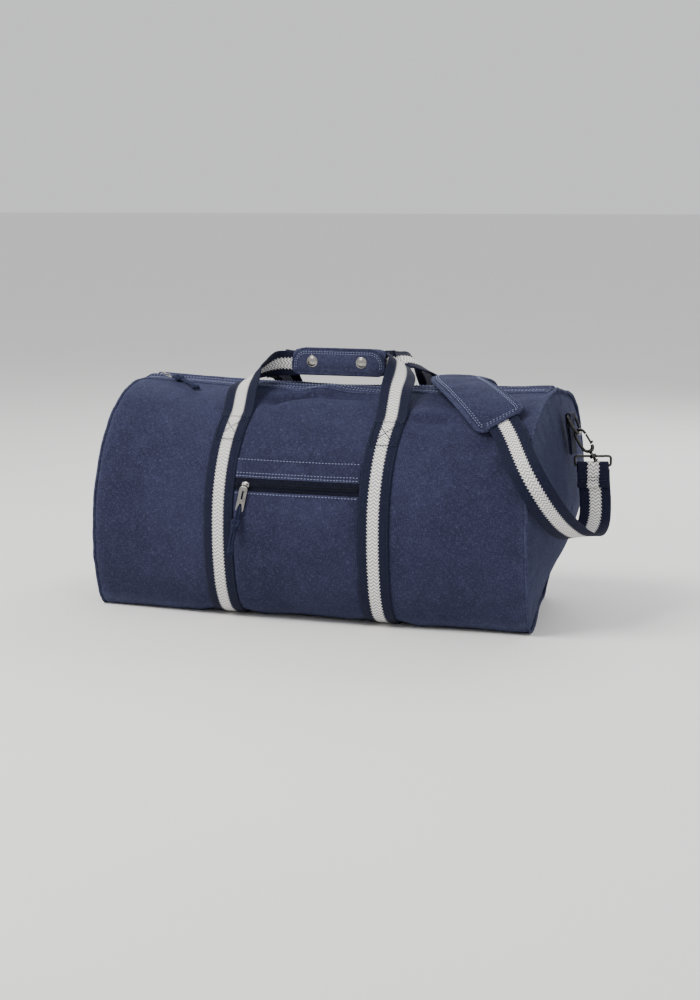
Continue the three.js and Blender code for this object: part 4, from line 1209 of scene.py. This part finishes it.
def grip_wrap_mesh():
    outer = rounded_rectangle(0.0098, 0.0172, 0.0078, 9)
    inner = rounded_rectangle(0.0078, 0.0150, 0.0060, 9)
    middle = (GRIP_LOW + GRIP_HIGH) / 2
    n, m = 90, len(outer)
    t = np.linspace(0, 1, n)
    rings = []
    for s in t:
        x = GRIP_X + (2 * s - 1) * GRIP_HALF
        near = min(1.0, min(s, 1 - s) * 2 * GRIP_HALF / 0.015)
        shoulder = 1 - 0.30 * (1 - math.sqrt(1 - (1 - near) ** 2))
        rim = (
            1 + 0.05 * (bell(s, 0, 0.02) + bell(s, 1, 0.02)) - 0.03 * bell(s, 0.045, 0.012)
            - 0.03 * bell(s, 0.955, 0.012)
        )
        row = []
        for j, (y, z) in enumerate(outer):
            a = 2 * math.pi * j / m
            ripple = 0.00035 * float(noise2(s * 20 + 3, math.cos(a) * 2 + math.sin(a) * 3, 2))
            push = (y, z) / np.linalg.norm((y, z)) * ripple
            row.append(
                (
                    x, y * rim + push[0],
                    middle + z * rim * (shoulder if z > 0 else 1 - (1 - shoulder) * 0.5) + push[1],
                )
            )
        rings.append(row)
    outer_points = np.array(rings)
    inner_points = np.array(
        [
            [(x[0][0], y, middle + z * 0.97 * (max(p[2] for p in x) - middle) / 0.0172) for y, z in inner]
            for x in rings
        ]
    )
    points = np.vstack([outer_points.reshape(-1, 3), inner_points.reshape(-1, 3)])
    count = n * m
    faces = grid_faces(n, m, wrap_columns=True).tolist()
    faces += grid_faces(n, m, wrap_columns=True, start=count, flip=True).tolist()
    for row, flip in ((0, True), (n - 1, False)):
        for j in range(m):
            quad = [row * m + j, row * m + (j + 1) % m, row * m + (j + 1) % m + count, row * m + j + count]
            faces.append(quad[::-1] if flip else quad)
    wear = np.array([0.22 + 0.25 * (bell(s, 0, 0.02) + bell(s, 1, 0.02)) for s in t]).repeat(m)
    around = np.tile(np.linspace(0, 0.09, m), (n, 1))
    lay = np.stack([outer_points[..., 0], around, np.zeros((n, m))], axis=-1).reshape(-1, 3)
    return points, outward(points, faces), np.vstack([lay, lay]), np.concatenate([wear, wear])


piece("grip_wrap_cloth", grip_wrap_mesh(), CANVAS, "grip", "grip_wrap")
for side_name, side in sides:
    row = np.array([(GRIP_X + x, side * 0.0005, 0.3145) for x in np.linspace(-0.0622, 0.0622, 40)])
    piece(
        f"handle_core_{side_name}_webbing",
        strip_mesh(row, rows_of([0, 0, 1.0], 40), rows_of([0, side, 0], 40), width=0.027, thick=0.005),
        STRIPED, "grip", f"handle_core_{side_name}",
    )

# The flap: a padded oval leaf with a bound edge, a row of stitches and two snap caps.
FLAP_BACK = -0.0114
FLAP_SKIN = 0.0022
FLAP_HALF = 0.0163
SNAPS = (("left", -0.035), ("right", 0.032))
SNAP_Z = 0.315


def flap_ring(inset):
    """The flap's outline, inset by a margin: broad round shoulders above, tighter corners below."""
    half_u, half_v = GRIP_HALF - inset, FLAP_HALF - inset
    points = []
    for su, sv, a0, r in (
        (1, 1, 0, 0.0195), (-1, 1, 90, 0.0195), (-1, -1, 180, 0.0088), (1, -1, 270, 0.0088),
    ):
        r -= inset
        for a in np.radians(a0 + np.linspace(0, 90, 16)):
            points.append((su * (half_u - r) + r * math.cos(a), sv * (half_v - r) + r * math.sin(a)))
    return np.array(points)


FLAP_MIDDLE = 0.31525
flap_outline = flap_ring(0.0)


def flap_row(outline, y):
    """Points over the flap's outline, in the bag's frame; y is one depth or one for each point."""
    return np.stack(
        [GRIP_X + outline[:, 0], np.broadcast_to(y, len(outline)), FLAP_MIDDLE + outline[:, 1]], axis=1,
    )


def flap_at(u, v):
    """How far out the flap's front stands: it crowns in the middle and dips by its snaps."""
    edge = 1 - (np.abs(u) / GRIP_HALF) ** 8
    crown = 0.0023 * edge * (1 - (v / FLAP_HALF) ** 2)
    dip = 0.0
    for _, x in SNAPS:
        dip = dip + 0.0017 * np.exp(-((u - x) ** 2 + (v + 0.0002) ** 2) / 0.009**2)
    return crown - dip + 0.0003 * noise2(u * 60 + 9, v * 60, 4)


def flap_mesh():
    rings = []
    shrink = np.concatenate([[1.0], np.linspace(1.0, 0.0, 14)[1:-1]])
    for k, s in enumerate(shrink):
        ring = flap_outline * s
        rings.append(flap_row(ring, FLAP_BACK - FLAP_SKIN - flap_at(ring[:, 0], ring[:, 1]) * (k > 0)))
    rings = rings[::-1]
    back = [flap_row(flap_outline * s, FLAP_BACK) for s in (1.0, 0.5, 0.08)]
    points = np.array(rings + back)
    rows, columns = points.shape[:2]
    flat = points.reshape(-1, 3)
    lay = np.stack([flat[:, 0], flat[:, 2], flat[:, 1] * 0], axis=1)
    return flat, tube_faces(flat, rows, columns), lay


piece("grip_flap_cloth", flap_mesh(), CANVAS, "flap", "grip_flap", 0.26)
edge_line = flap_row(flap_outline * 0.985, FLAP_BACK - 0.0012)
piece(
    "grip_flap_binding", self_laid(tube_mesh(edge_line, 0.0019, 12, closed=True)), CANVAS_DEEP, "flap",
    wear=0.22,
)
flap_threads = []
for inset in (0.0038, 0.0062):
    arch = flap_ring(inset)[:32]
    arch = spline(np.vstack([[(arch[0, 0], -0.009)], arch, [(arch[-1, 0], -0.009)]]), 240)
    line = flap_row(arch, FLAP_BACK - FLAP_SKIN - flap_at(arch[:, 0], arch[:, 1]) - 0.0002)
    flap_threads.append(
        stitch_mesh(line, rows_of([0, -1.0, 0], len(line)), pitch=0.0036, length=0.0024, radius=0.00036)
    )
piece("grip_flap_stitches", join_meshes(*flap_threads), SEAM_THREAD, "flap")

SNAP_CAP = [
    (0.0, 0.0031), (0.0020, 0.0030), (0.0038, 0.0027), (0.0052, 0.0022), (0.0060, 0.0018), (0.0064, 0.0017),
    (0.0069, 0.0018), (0.0074, 0.0015), (0.0077, 0.0009), (0.0077, 0.0003), (0.0072, 0.0), (0.0, 0.0),
]
SNAP_STUD = [
    (0.0, 0.0034), (0.0013, 0.0034), (0.0018, 0.0030), (0.0018, 0.0012), (0.0026, 0.0009), (0.0042, 0.0008),
    (0.0046, 0.0004), (0.0046, 0.0), (0.0, 0.0),
]
for name, x in SNAPS:
    face_front = Matrix.Rotation(math.radians(90), 4, "X")
    cap_y = FLAP_BACK - FLAP_SKIN - 0.00015
    piece(
        f"snap_cap_{name}_dome",
        moved(lathe_mesh(SNAP_CAP, 48), face_front, Matrix.Translation((GRIP_X + x, cap_y, SNAP_Z))), NICKEL,
        "flap", f"snap_cap_{name}",
    )
    piece(
        f"snap_stud_{name}_post",
        moved(lathe_mesh(SNAP_STUD, 40), face_front, Matrix.Translation((GRIP_X + x, -0.0096, SNAP_Z))),
        NICKEL, "grip", f"snap_stud_{name}",
    )


# ---- main zip, along the sagging crest ----
def crest_at(x):
    """Height of the zip's coil along the bag."""
    return 0.2830 + 0.0046 * end_share(x)


ZIP_FROM, ZIP_TO = -0.264, 0.270
zip_x = np.linspace(ZIP_FROM, ZIP_TO, 240)


COIL_SIDES = 6
COIL_STEPS = 9


def coil_mesh(path, out, across, radius, wire, pitch):
    """A monofilament coil wound round a line: one edge of a nylon zip."""
    turns = int(run_length(path) / pitch)
    t = np.linspace(0, 1, turns * COIL_STEPS)
    at = np.linspace(0, 1, len(path))
    centre = resampled(t, at, path)
    angle = 2 * math.pi * turns * t
    centre = centre + radius[0] * np.cos(angle)[:, None] * across + radius[1] * np.sin(angle)[:, None] * out
    return tube_mesh(centre, wire, COIL_SIDES)


for side_name, side in sides:
    path = np.stack([zip_x, np.full(len(zip_x), side * 0.0125), crest_at(zip_x) - 0.0012], axis=1)
    slope = rows_of(unit(np.array([0, side * 0.12, 1.0])), len(zip_x))
    across = rows_of(unit(np.array([0, 1.0, -side * 0.12])), len(zip_x))
    piece(
        f"main_zip_tape_{side_name}", strip_mesh(path, across, slope, width=0.0235, thick=0.0009, columns=8),
        TAPE, "bag", f"main_zip_{side_name}",
    )
    centre = np.stack([zip_x, np.full(len(zip_x), side * 0.0014), crest_at(zip_x) + 0.0006], axis=1)
    piece(
        f"main_zip_coil_{side_name}",
        coil_mesh(
            centre, np.array([0, 0, 1.0]), np.array([0, 1.0, 0]), radius=(0.0017, 0.0010), wire=0.00042,
            pitch=0.0021,
        ),
        COIL, "bag",
    )


# Plackets: the folded canvas edge beside the zip.
def placket_high(gx, gu):
    """How far the placket's face stands off the skin: most beside the zip and near the bag's ends."""
    curl = 0.0016 * smooth(0.955, 0.979, gu) * (0.6 + 0.9 * smooth(0.12, 0.25, np.abs(gx)))
    return 0.0014 + (0.0006 + curl + 0.0003 * noise2(gx * 60, gu * 60, 12))


placket_threads = []
for side_name, side in sides:
    us = np.linspace(0.925, 0.9795, 26)
    xs = np.linspace(LEFT_END + 0.004, RIGHT_END - 0.004, 250)
    laid(
        f"placket_{side_name}", xs, us, side, 0.0001, placket_high, CANVAS,
        wear=lambda gx, gu, edge: 0.5 * np.exp(-edge / 0.0016),
    )
    for u_line in (0.9335, 0.9440, 0.9680):
        x_line = np.linspace(LEFT_END + 0.008, RIGHT_END - 0.008, 400)
        line, out = line_on_skin(
            x_line, np.full(400, u_line), side, 0.0024 + 0.0012 * smooth(0.955, 0.979, u_line),
        )
        placket_threads.append(stitch_mesh(line, out, pitch=0.0044, length=0.0029))
piece("placket_stitches", join_meshes(*placket_threads), SEAM_THREAD, "bag")

for end_name, end, x in (("left", -1, ZIP_FROM), ("right", 1, ZIP_TO)):
    reach = abs((LEFT_END if end < 0 else RIGHT_END) - x) + 0.001
    row = np.array(
        [
            (x + end * s, 0, float(crest_at(x)) + 0.0006 - 0.0010 * (s / reach))
            for s in np.linspace(0.0006, reach, 20)
        ]
    )
    row[:, 0] += np.linspace(0, 0.0155 if end < 0 else 0, 20)
    piece(
        f"zip_end_tab_{end_name}_cloth",
        strip_mesh(row, rows_of([0, 1.0, 0], 20), rows_of([0, 0, 1.0], 20), width=0.015, thick=0.0022),
        CANVAS_DEEP, "bag", f"zip_end_tab_{end_name}", 0.2,
    )


# ---- sliders and pull tabs ----
def slider_mesh(length, width, height, coil_half, bail, post, turn):
    """A zip slider: domed top plate, flanges beside the coil, and an arched bail for the pull."""
    rows = []
    n = 18
    for i in range(n + 1):
        s = -1 + 2 * i / n
        x = s * length / 2
        taper = 1 - 0.16 * bell(s, -1, 0.5) - 0.34 * smooth(0.2, 1.0, s)
        half = width / 2 * taper * (1 - 0.25 * smooth(0.9, 1.0, abs(s)))
        top = height - 0.0005 * s * s - 0.0004 * smooth(0.9, 1, abs(s))
        wall = min(coil_half + 0.0004, half - 0.0006)
        low = 0.0006
        roof = height - 0.0014
        row = [
            (-half, low), (-half, top - 0.0009), (-half + 0.0009, top), (0.0, top + 0.0004),
            (half - 0.0009, top), (half, top - 0.0009),
            (half, low), (wall, low), (wall, roof), (0.0, roof), (-wall, roof), (-wall, low),
        ]
        rows.append([(x, y, z) for y, z in row])
    points = np.array(rows)
    flat = points.reshape(-1, 3)
    body = (flat, tube_faces(flat, n + 1, 12))
    arch = np.array([
        (-post, 0, height - 0.0006), (-post * 1.04, 0, height + bail * 0.55),
        (-post * 0.8, 0, height + bail * 0.94), (-post * 0.35, 0, height + bail),
        (post * 0.35, 0, height + bail), (post * 0.8, 0, height + bail * 0.94),
        (post * 1.04, 0, height + bail * 0.55), (post, 0, height - 0.0006),
    ])
    bow = tube_mesh(spline(arch, 36), 0.00095, 12)
    return join_meshes(body, moved(bow, Matrix.Rotation(turn, 4, "Z")))


def tab_mesh(post):
    """Slotted pull tab hanging along -Z, with a rolled eye round the bail."""
    outline = rounded_rectangle(0.0050, 0.0153, 0.0026, 7) + np.array([0, -0.0187])
    slot_low = rounded_rectangle(0.0022, 0.0038, 0.0018, 7) + np.array([0, -0.0278])
    slot_high = rounded_rectangle(0.0016, 0.0062, 0.0014, 7) + np.array([0, -0.0138])
    curve = bpy.data.curves.new("tab_outline", "CURVE")
    curve.dimensions = "2D"
    curve.fill_mode = "BOTH"
    curve.extrude = 0.00055
    curve.bevel_depth = 0.0004
    curve.bevel_resolution = 2
    for loop in (outline, slot_low, slot_high):
        spline_2d = curve.splines.new("POLY")
        spline_2d.points.add(len(loop) - 1)
        spline_2d.points.foreach_set(
            "co", np.column_stack([loop, np.zeros(len(loop)), np.ones(len(loop))]).ravel(),
        )
        spline_2d.use_cyclic_u = True
    shape = bpy.data.objects.new("tab_outline", curve)
    bpy.context.scene.collection.objects.link(shape)
    mesh = bpy.data.meshes.new_from_object(shape)
    bpy.data.objects.remove(shape)
    points = np.array([v.co for v in mesh.vertices], float)[:, [0, 2, 1]] * np.array([1, -1, 1])
    faces = [list(p.vertices) for p in mesh.polygons]
    bpy.data.meshes.remove(mesh)
    plate = (points, faces)
    eye_half = post * 0.62
    sleeve = []
    for x, r in (
        (-eye_half, 0.0012), (-eye_half, 0.0020), (-eye_half + 0.0004, 0.0022), (eye_half - 0.0004, 0.0022),
        (eye_half, 0.0020), (eye_half, 0.0012),
    ):
        sleeve.append([(x, y, z) for y, z in circle(r, 24)])
    neck = np.array(
        [
            (x, y, z) for z in (-0.0017, -0.0042)
            for x, y in ((-eye_half, -0.0008), (eye_half, -0.0008), (eye_half, 0.0008), (-eye_half, 0.0008))
        ]
    )
    return join_meshes(plate, hollow_mesh(sleeve), (neck, tube_faces(neck, 2, 4)))


SLIDER_LOW = 0.2818
points, faces = slider_mesh(
    length=0.014, width=0.0112, height=0.0062, coil_half=0.0034, bail=0.0040, post=0.0034,
    turn=math.radians(52),
)
piece(
    "main_zip_slider_body", moved((points, faces), Matrix.Translation((MAIN_PIVOT.x, 0, SLIDER_LOW))), NICKEL,
    "main_slider", "main_zip_slider",
)
piece(
    "main_pull_tab_plate", moved(tab_mesh(post=0.0034), main_pull_frame), NICKEL, "main_pull",
    "main_pull_tab",
)


# ---- front pocket ----
POCKET_HALF = 0.0815
POCKET_ZIP_Z = 0.172
POCKET_ZIP_HALF = 0.008
POCKET_TRAVEL = (-0.072, 0.080)
POCKET_STITCH = (0.0042, 0.0027, 0.0005)
pocket_foot, pocket_top_u = u_at(0.020), u_at(0.203)
zip_low_u, zip_mid_u, zip_high_u = [u_at(POCKET_ZIP_Z + s * POCKET_ZIP_HALF) for s in (-1, 0, 1)]


def pocket_lift(gx, gu):
    """The pocket panel's stand-off: closest at its seams, fullest in its lower middle."""
    across = 1 - np.clip(np.abs(gx) / POCKET_HALF, 0, 1) ** 4
    rise = smooth(pocket_foot, u_at(0.075), gu) * (1 - 0.55 * smooth(u_at(0.13), zip_low_u, gu))
    slack = 0.0005 * noise2(gx * 34, gu * HALF_GIRTH * 30, 13)
    return 0.0004 + 0.0034 * across * rise + slack * across


def facing_high(gx, gu):
    """The strip above the pocket's zip: thicker along its folded edges."""
    return 0.0017 + 0.0008 * bell(gu, zip_high_u, 0.005) + 0.0004 * bell(gu, pocket_top_u - 0.003, 0.004)


pocket_x = np.linspace(-POCKET_HALF, POCKET_HALF, 90)
laid(
    "pocket_panel_cloth", pocket_x, np.linspace(pocket_foot, zip_low_u, 100), -1, pocket_lift,
    lambda gx, gu: pocket_lift(gx, gu) + 0.0013 + 0.0007 * bell(gu, zip_low_u, 0.006), CANVAS,
    "pocket_panel",
    wear=lambda gx, gu, edge: 0.45 * np.exp(-np.maximum(zip_low_u - gu, 0) * HALF_GIRTH / 0.0014),
)
laid(
    "pocket_facing_cloth", pocket_x, np.linspace(zip_high_u, pocket_top_u, 30), -1, 0.0003,
    facing_high, CANVAS, "pocket_facing",
    wear=lambda gx, gu, edge: 0.45 * np.exp(-np.maximum(gu - zip_high_u, 0) * HALF_GIRTH / 0.0014),
)
for name, from_u, to_u, node in (
    ("lower", zip_low_u - 0.006, zip_mid_u - 0.0008, "pocket_zip_lower"),
    ("upper", zip_mid_u + 0.0008, zip_high_u + 0.006, "pocket_zip_upper"),
):
    laid(
        f"pocket_zip_tape_{name}", pocket_x, np.linspace(from_u, to_u, 10), -1, 0.0002, 0.0008, TAPE,
        node,
    )
for name, sign in (("lower", -1), ("upper", 1)):
    line, out = line_on_skin(
        np.linspace(-POCKET_HALF + 0.001, POCKET_HALF - 0.001, 160), np.full(160, zip_mid_u + sign * 0.0029),
        -1, 0.0016,
    )
    piece(
        f"pocket_zip_coil_{name}",
        coil_mesh(
            line, np.array([0, -1.0, 0.15]), np.array([0, 0.15, 1.0]), radius=(0.0009, 0.0013), wire=0.00038,
            pitch=0.0018,
        ),
        COIL, "bag",
    )
pocket_threads = []
x_line = np.linspace(-POCKET_HALF + 0.001, POCKET_HALF - 0.001, 200)
panel_lift = pocket_lift(x_line, np.full(200, zip_low_u - 0.0065)) + 0.0019
for u_line, lift in (
    (pocket_top_u - 0.0035, 0.0021), (zip_high_u + 0.0055, 0.0024), (zip_high_u + 0.0150, 0.0019),
    (zip_low_u - 0.0065, panel_lift),
):
    line, out = skin(x_line, np.full(200, u_line), -1, np.broadcast_to(lift, 200))
    pocket_threads.append(stitch_mesh(line, out, *POCKET_STITCH))
piece("pocket_stitches", join_meshes(*pocket_threads), SEAM_THREAD, "bag")

points, faces = slider_mesh(
    length=0.010, width=0.0082, height=0.0034, coil_half=0.0026, bail=0.0034, post=0.0032, turn=0.0,
)
lean_back = Matrix.Rotation(math.radians(90) - math.atan(0.2), 4, "X")
# The slider stands where the skin is fullest along its travel, to clear the tapes all the way.
travel = np.linspace(*POCKET_TRAVEL, 40)
slider_at, _ = skin(travel, np.full(40, zip_mid_u), -1, np.full(40, 0.0006))
piece(
    "pocket_zip_slider_body",
    moved(
        (points, faces), lean_back,
        Matrix.Translation((POCKET_PIVOT.x, float(slider_at[:, 1].min()), POCKET_ZIP_Z)),
    ),
    NICKEL, "pocket_slider", "pocket_zip_slider",
)
piece(
    "pocket_pull_tab_plate", moved(tab_mesh(post=0.0032), pocket_pull_frame), NICKEL, "pocket_pull",
    "pocket_pull_tab",
)


# ---- hardware at the two ends ----
RING_EYE = Vector((0.305, 0, 0.257))
# Ring and hook tilt outwards and the strap loop's turn about Z, for each end.
HANG = {"right": np.radians([28, 33, 20]), "left": np.radians([34, 8, 90])}
RING_BOW = [
    (-14, 0), (-7, 0), (0, 0), (7, 0), (14, 0), (16.5, -3.5), (15.5, -13), (10, -22),
    (0, -26), (-10, -22), (-15.5, -13), (-16.5, -3.5),
]


def closed_spline(points, n):
    """Closed smooth loop through points."""
    p = np.asarray(points, float)
    wrapped = np.vstack([p[-2:], p, p[:3]])
    dense = spline(wrapped, 40 * len(wrapped))
    start = np.argmin(np.linalg.norm(dense - p[0], axis=1)[: len(dense) // 2])
    tail = len(dense) // 2 + np.argmin(np.linalg.norm(dense[len(dense) // 2 :] - p[0], axis=1))
    return spline(dense[start : tail + 1 : 6], n)[:-1]


def hook_meshes():
    """A swivel snap hook: a bowed gate frame, its ball collar and neck, with the gate as its own piece."""
    # The frame's long side is a fixed claw; the gate closes the other side.
    claw = np.array([
        (6.3, 0, -19.4), (5.4, 0, -22.6), (2.4, 0, -25.2), (-1.5, 0, -25.0), (-5.0, 0, -22.0),
        (-6.4, 0, -16.5), (-6.5, 0, -9.0),
        (-6.0, 0, -1.5), (-4.2, 0, 3.0), (-0.6, 0, 4.9), (3.1, 0, 4.2), (5.6, 0, 1.0), (6.5, 0, -3.0),
        (6.5, 0, -3.9),
    ]) * MM
    line = spline(claw, 90)
    t = np.linspace(0, 1, len(line))
    radius = 0.0019 + 0.0006 * bell(t, 0.12, 0.09) - 0.0003 * smooth(0.8, 1, t)
    frame_mesh = tube_mesh(line, radius, 14)
    collar = lathe_mesh(
        [
            (0.0, -0.0262), (0.0032, -0.0260), (0.0038, -0.0252), (0.0038, -0.0240), (0.0030, -0.0232),
            (0.0, -0.0230),
        ],
        32,
    )
    neck = lathe_mesh(
        [
            (0.0, -0.0405), (0.0026, -0.0403), (0.0033, -0.0396), (0.0033, -0.0386), (0.0021, -0.0380),
            (0.0019, -0.0372), (0.0019, -0.0250), (0.0, -0.0248),
        ],
        32,
    )
    body = join_meshes(frame_mesh, collar, neck)
    gate_line = spline(np.array([(6.5, 0, -4.6), (6.6, 0, -8), (6.5, 0, -14), (6.4, 0, -18.4)]) * MM, 30)
    s = np.linspace(0, 1, len(gate_line))
    gate_radius = 0.00135 + 0.0004 * bell(s, 0.96, 0.05)
    gate = tube_mesh(gate_line, gate_radius, 12)
    knob = lathe_mesh(
        [
            (0.0, -0.0016), (0.0012, -0.0015), (0.0015, -0.0005), (0.0015, 0.0005), (0.0012, 0.0015),
            (0.0, 0.0016),
        ],
        20,
    )
    knob = moved(knob, Matrix.Rotation(math.radians(90), 4, "Y"), Matrix.Translation((0.0082, 0, -0.0165)))
    return body, join_meshes(gate, knob)


COLLAR_DROP = 0.0326


def strap_loop_mesh(hook_tilt, loop_turn):
    """Rectangular wire loop welded to a collar that turns on the hook's neck."""
    half, drop, corner = 0.0222, 0.012, 0.003
    points = (
        [(-half + corner, 0)] + [(x, 0) for x in (-0.011, -0.0055, 0, 0.0055, 0.011)]
        + [(half - corner, 0), (half - 0.0007, -0.0009), (half, -corner)]
    )
    points += [
        (half, -drop / 2), (half, -drop + corner), (half - 0.0007, -drop + 0.0009), (half - corner, -drop),
    ]
    points += [(x, -drop) for x in (0.011, 0, -0.011)] + [
        (-half + corner, -drop), (-half + 0.0007, -drop + 0.0009), (-half, -drop + corner),
        (-half, -drop / 2), (-half, -corner), (-half + 0.0007, -0.0009),
    ]
    wire = closed_spline([(x, 0, z) for x, z in points], 120)
    loop = tube_mesh(wire, 0.0016, 12, closed=True)
    hang = Matrix.Translation((0, 0, -COLLAR_DROP)) @ Matrix.Rotation(hook_tilt, 4, "Y")
    hang = hang @ Matrix.Rotation(loop_turn, 4, "Z")
    collar = []
    for r, h in (
        (0.0023, -0.0021), (0.0039, -0.0021), (0.0045, -0.0014), (0.0045, 0.0014), (0.0039, 0.0021),
        (0.0023, 0.0021),
    ):
        collar.append([(x, y, h - COLLAR_DROP) for x, y in circle(r, 32)])
    return join_meshes(moved(loop, hang), hollow_mesh(collar))


def ring_tab_mesh():
    """Webbing folded round the D-ring's bar and sewn down the end panel."""
    eye = np.array([RING_EYE.x, RING_EYE.z])
    wrap = 0.0030
    line = [(0.3108, 0.2085), (0.3101, 0.218), (0.3086, 0.232), (0.3070, 0.2445)]
    line += [
        (eye[0] + wrap * math.cos(a), eye[1] + wrap * math.sin(a))
        for a in np.radians([-28, 10, 50, 90, 130, 170, 205])
    ]
    line += [(0.3034, 0.2445), (0.3058, 0.232), (0.3078, 0.218), (0.3086, 0.2095)]
    rows = spline(np.array(line), 90)
    path = np.stack([rows[:, 0], np.zeros(len(rows)), rows[:, 1]], axis=1)
    across = rows_of([0, 1.0, 0], len(path))
    out = unit(np.cross(across, unit(np.gradient(path, axis=0))))
    return strip_mesh(path, across, -out, width=0.0255, thick=0.0016, columns=10, lift=-0.0008), path, -out


for name, turn in (("right", 0.0), ("left", math.pi)):
    spin = Matrix.Rotation(turn, 4, "Z")
    ring_tilt, hook_tilt, loop_turn = HANG[name]
    tab, path, out = ring_tab_mesh()
    piece(
        f"d_ring_tab_{name}_webbing", moved(tab, spin), PLAIN_WEBBING, "bag", f"d_ring_tab_{name}",
    )
    threads = []
    for i in (3, 7, 25, 29):
        row = np.array(
            [path[i] + np.array([0, y, 0]) + out[i] * 0.0009 for y in np.linspace(-0.011, 0.011, 24)]
        )
        threads.append(stitch_mesh(row, rows_of(out[i], 24), pitch=0.0026, length=0.002, radius=0.0003))
    piece(f"d_ring_tab_{name}_stitches", moved(join_meshes(*threads), spin), SEAM_THREAD, "bag")

    ring_line = closed_spline([(0, y * MM, z * MM) for y, z in RING_BOW], 150)
    ring_at = spin @ Matrix.Translation(RING_EYE) @ Matrix.Rotation(-ring_tilt, 4, "Y")
    piece(
        f"d_ring_{name}_wire", moved(tube_mesh(ring_line, 0.00175, 14, closed=True), ring_at), GUNMETAL,
        f"ring_{name}", f"d_ring_{name}",
    )

    drop = Vector((math.sin(ring_tilt), 0, -math.cos(ring_tilt))) * 0.026
    hook_at = spin @ Matrix.Translation(RING_EYE + drop) @ Matrix.Rotation(-hook_tilt, 4, "Y")
    hook_body, hook_gate = hook_meshes()
    piece(
        f"hook_{name}_body", moved(hook_body, hook_at), GUNMETAL, f"snap_hook_{name}",
        f"hook_{name}",
    )
    piece(
        f"hook_gate_{name}_arm", moved(hook_gate, hook_at), GUNMETAL, f"gate_{name}",
        f"hook_gate_{name}",
    )
    piece(
        f"strap_loop_{name}_wire", moved(strap_loop_mesh(hook_tilt, loop_turn), hook_at), GUNMETAL, "bag",
        f"strap_loop_{name}",
    )

# The strap's ends, each folded over its loop's lower bar and sewn down.
STRAP_ENDS = {
    "right": (
        (0.33496, 0, 0.1947), (-0.342, 0.94, 0),
        [
            (2.2, -9), (2.8, -3), (2.3, 2), (0, 3.6), (-2.5, 2), (-3.2, -3), (-3.0, -9), (-2.5, -17),
            (-2.3, -27),
        ],
    ),
    "left": (
        (-0.32408, 0, 0.19117), (-1, 0, 0),
        [
            (5.0, -9), (4.2, -3), (2.7, 2), (0, 3.6), (-2.5, 2), (-3.2, -3), (-3.0, -9), (-2.7, -17),
            (-2.6, -25),
        ],
    ),
}
for name, (bar, facing, profile) in STRAP_ENDS.items():
    away = unit(np.array(facing, float))
    rows = spline(np.array(profile) * MM, 70)
    path = np.array(bar) + rows[:, :1] * away + rows[:, 1:] * np.array([0, 0, 1.0])
    across = np.tile(np.cross(away, [0, 0, 1.0]), (len(path), 1))
    out = unit(np.cross(unit(np.gradient(path, axis=0)), across))
    piece(
        f"strap_end_{name}_webbing", strip_mesh(path, across, out, STRAP_WIDTH, 0.002), STRIPED, "bag",
        (),
    )
    threads = []
    for i in (50, 56):
        for lift in (-0.0004, 0.0024):
            row = np.array(
                [path[i] + across[i] * w + out[i] * lift for w in np.linspace(-0.0165, 0.0165, 30)]
            )
            threads.append(
                stitch_mesh(
                    row, rows_of(out[i] * np.sign(lift), 30), pitch=0.0032, length=0.0027, radius=0.0006,
                )
            )
    piece(f"strap_end_{name}_stitches", join_meshes(*threads), DARK_THREAD, "bag")

# ---- strap adjuster: a three-bar slide ----
slide_low, slide_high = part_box("strap_adjuster")
slide_middle = (slide_low + slide_high) / 2
SLIDE_REACH = 0.0236
slide_outer = rounded_rectangle(0.0086, SLIDE_REACH, 0.0034, 8)
slide_frame = tube_mesh(closed_spline([(u, 0, v) for u, v in slide_outer[::2]], 120), 0.0013, 12, closed=True)
slide_bar = tube_mesh(np.array([(0, 0, v) for v in np.linspace(-SLIDE_REACH, SLIDE_REACH, 20)]), 0.0012, 12)
piece(
    "strap_adjuster_slide", moved(join_meshes(slide_frame, slide_bar), Matrix.Translation(slide_middle)),
    GUNMETAL, "adjuster", "strap_adjuster",
)

# The right end is drawn in under itself towards its rear lower corner; nothing sinks below the floor.
for name in (
    "front_cloth", "rear_cloth", "base_cloth", "right_end_cloth", "right_end_piping", "left_end_cloth",
    "left_end_piping",
):
    mesh = bpy.data.objects[name].data
    co = np.empty(3 * len(mesh.vertices))
    mesh.vertices.foreach_get("co", co)
    co = co.reshape(-1, 3)
    low, back = smooth(0.17, 0.0, co[:, 2]), smooth(-0.16, 0.15, co[:, 1])
    co[:, 0] -= 0.045 * low * back * smooth(0.14, RIGHT_END, co[:, 0])
    co[:, 2] = np.maximum(co[:, 2], 0.0003)
    mesh.vertices.foreach_set("co", co.ravel())
    mesh.update()

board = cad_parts["base_board"]
board.data.materials.clear()
board.data.materials.append(BOARD)
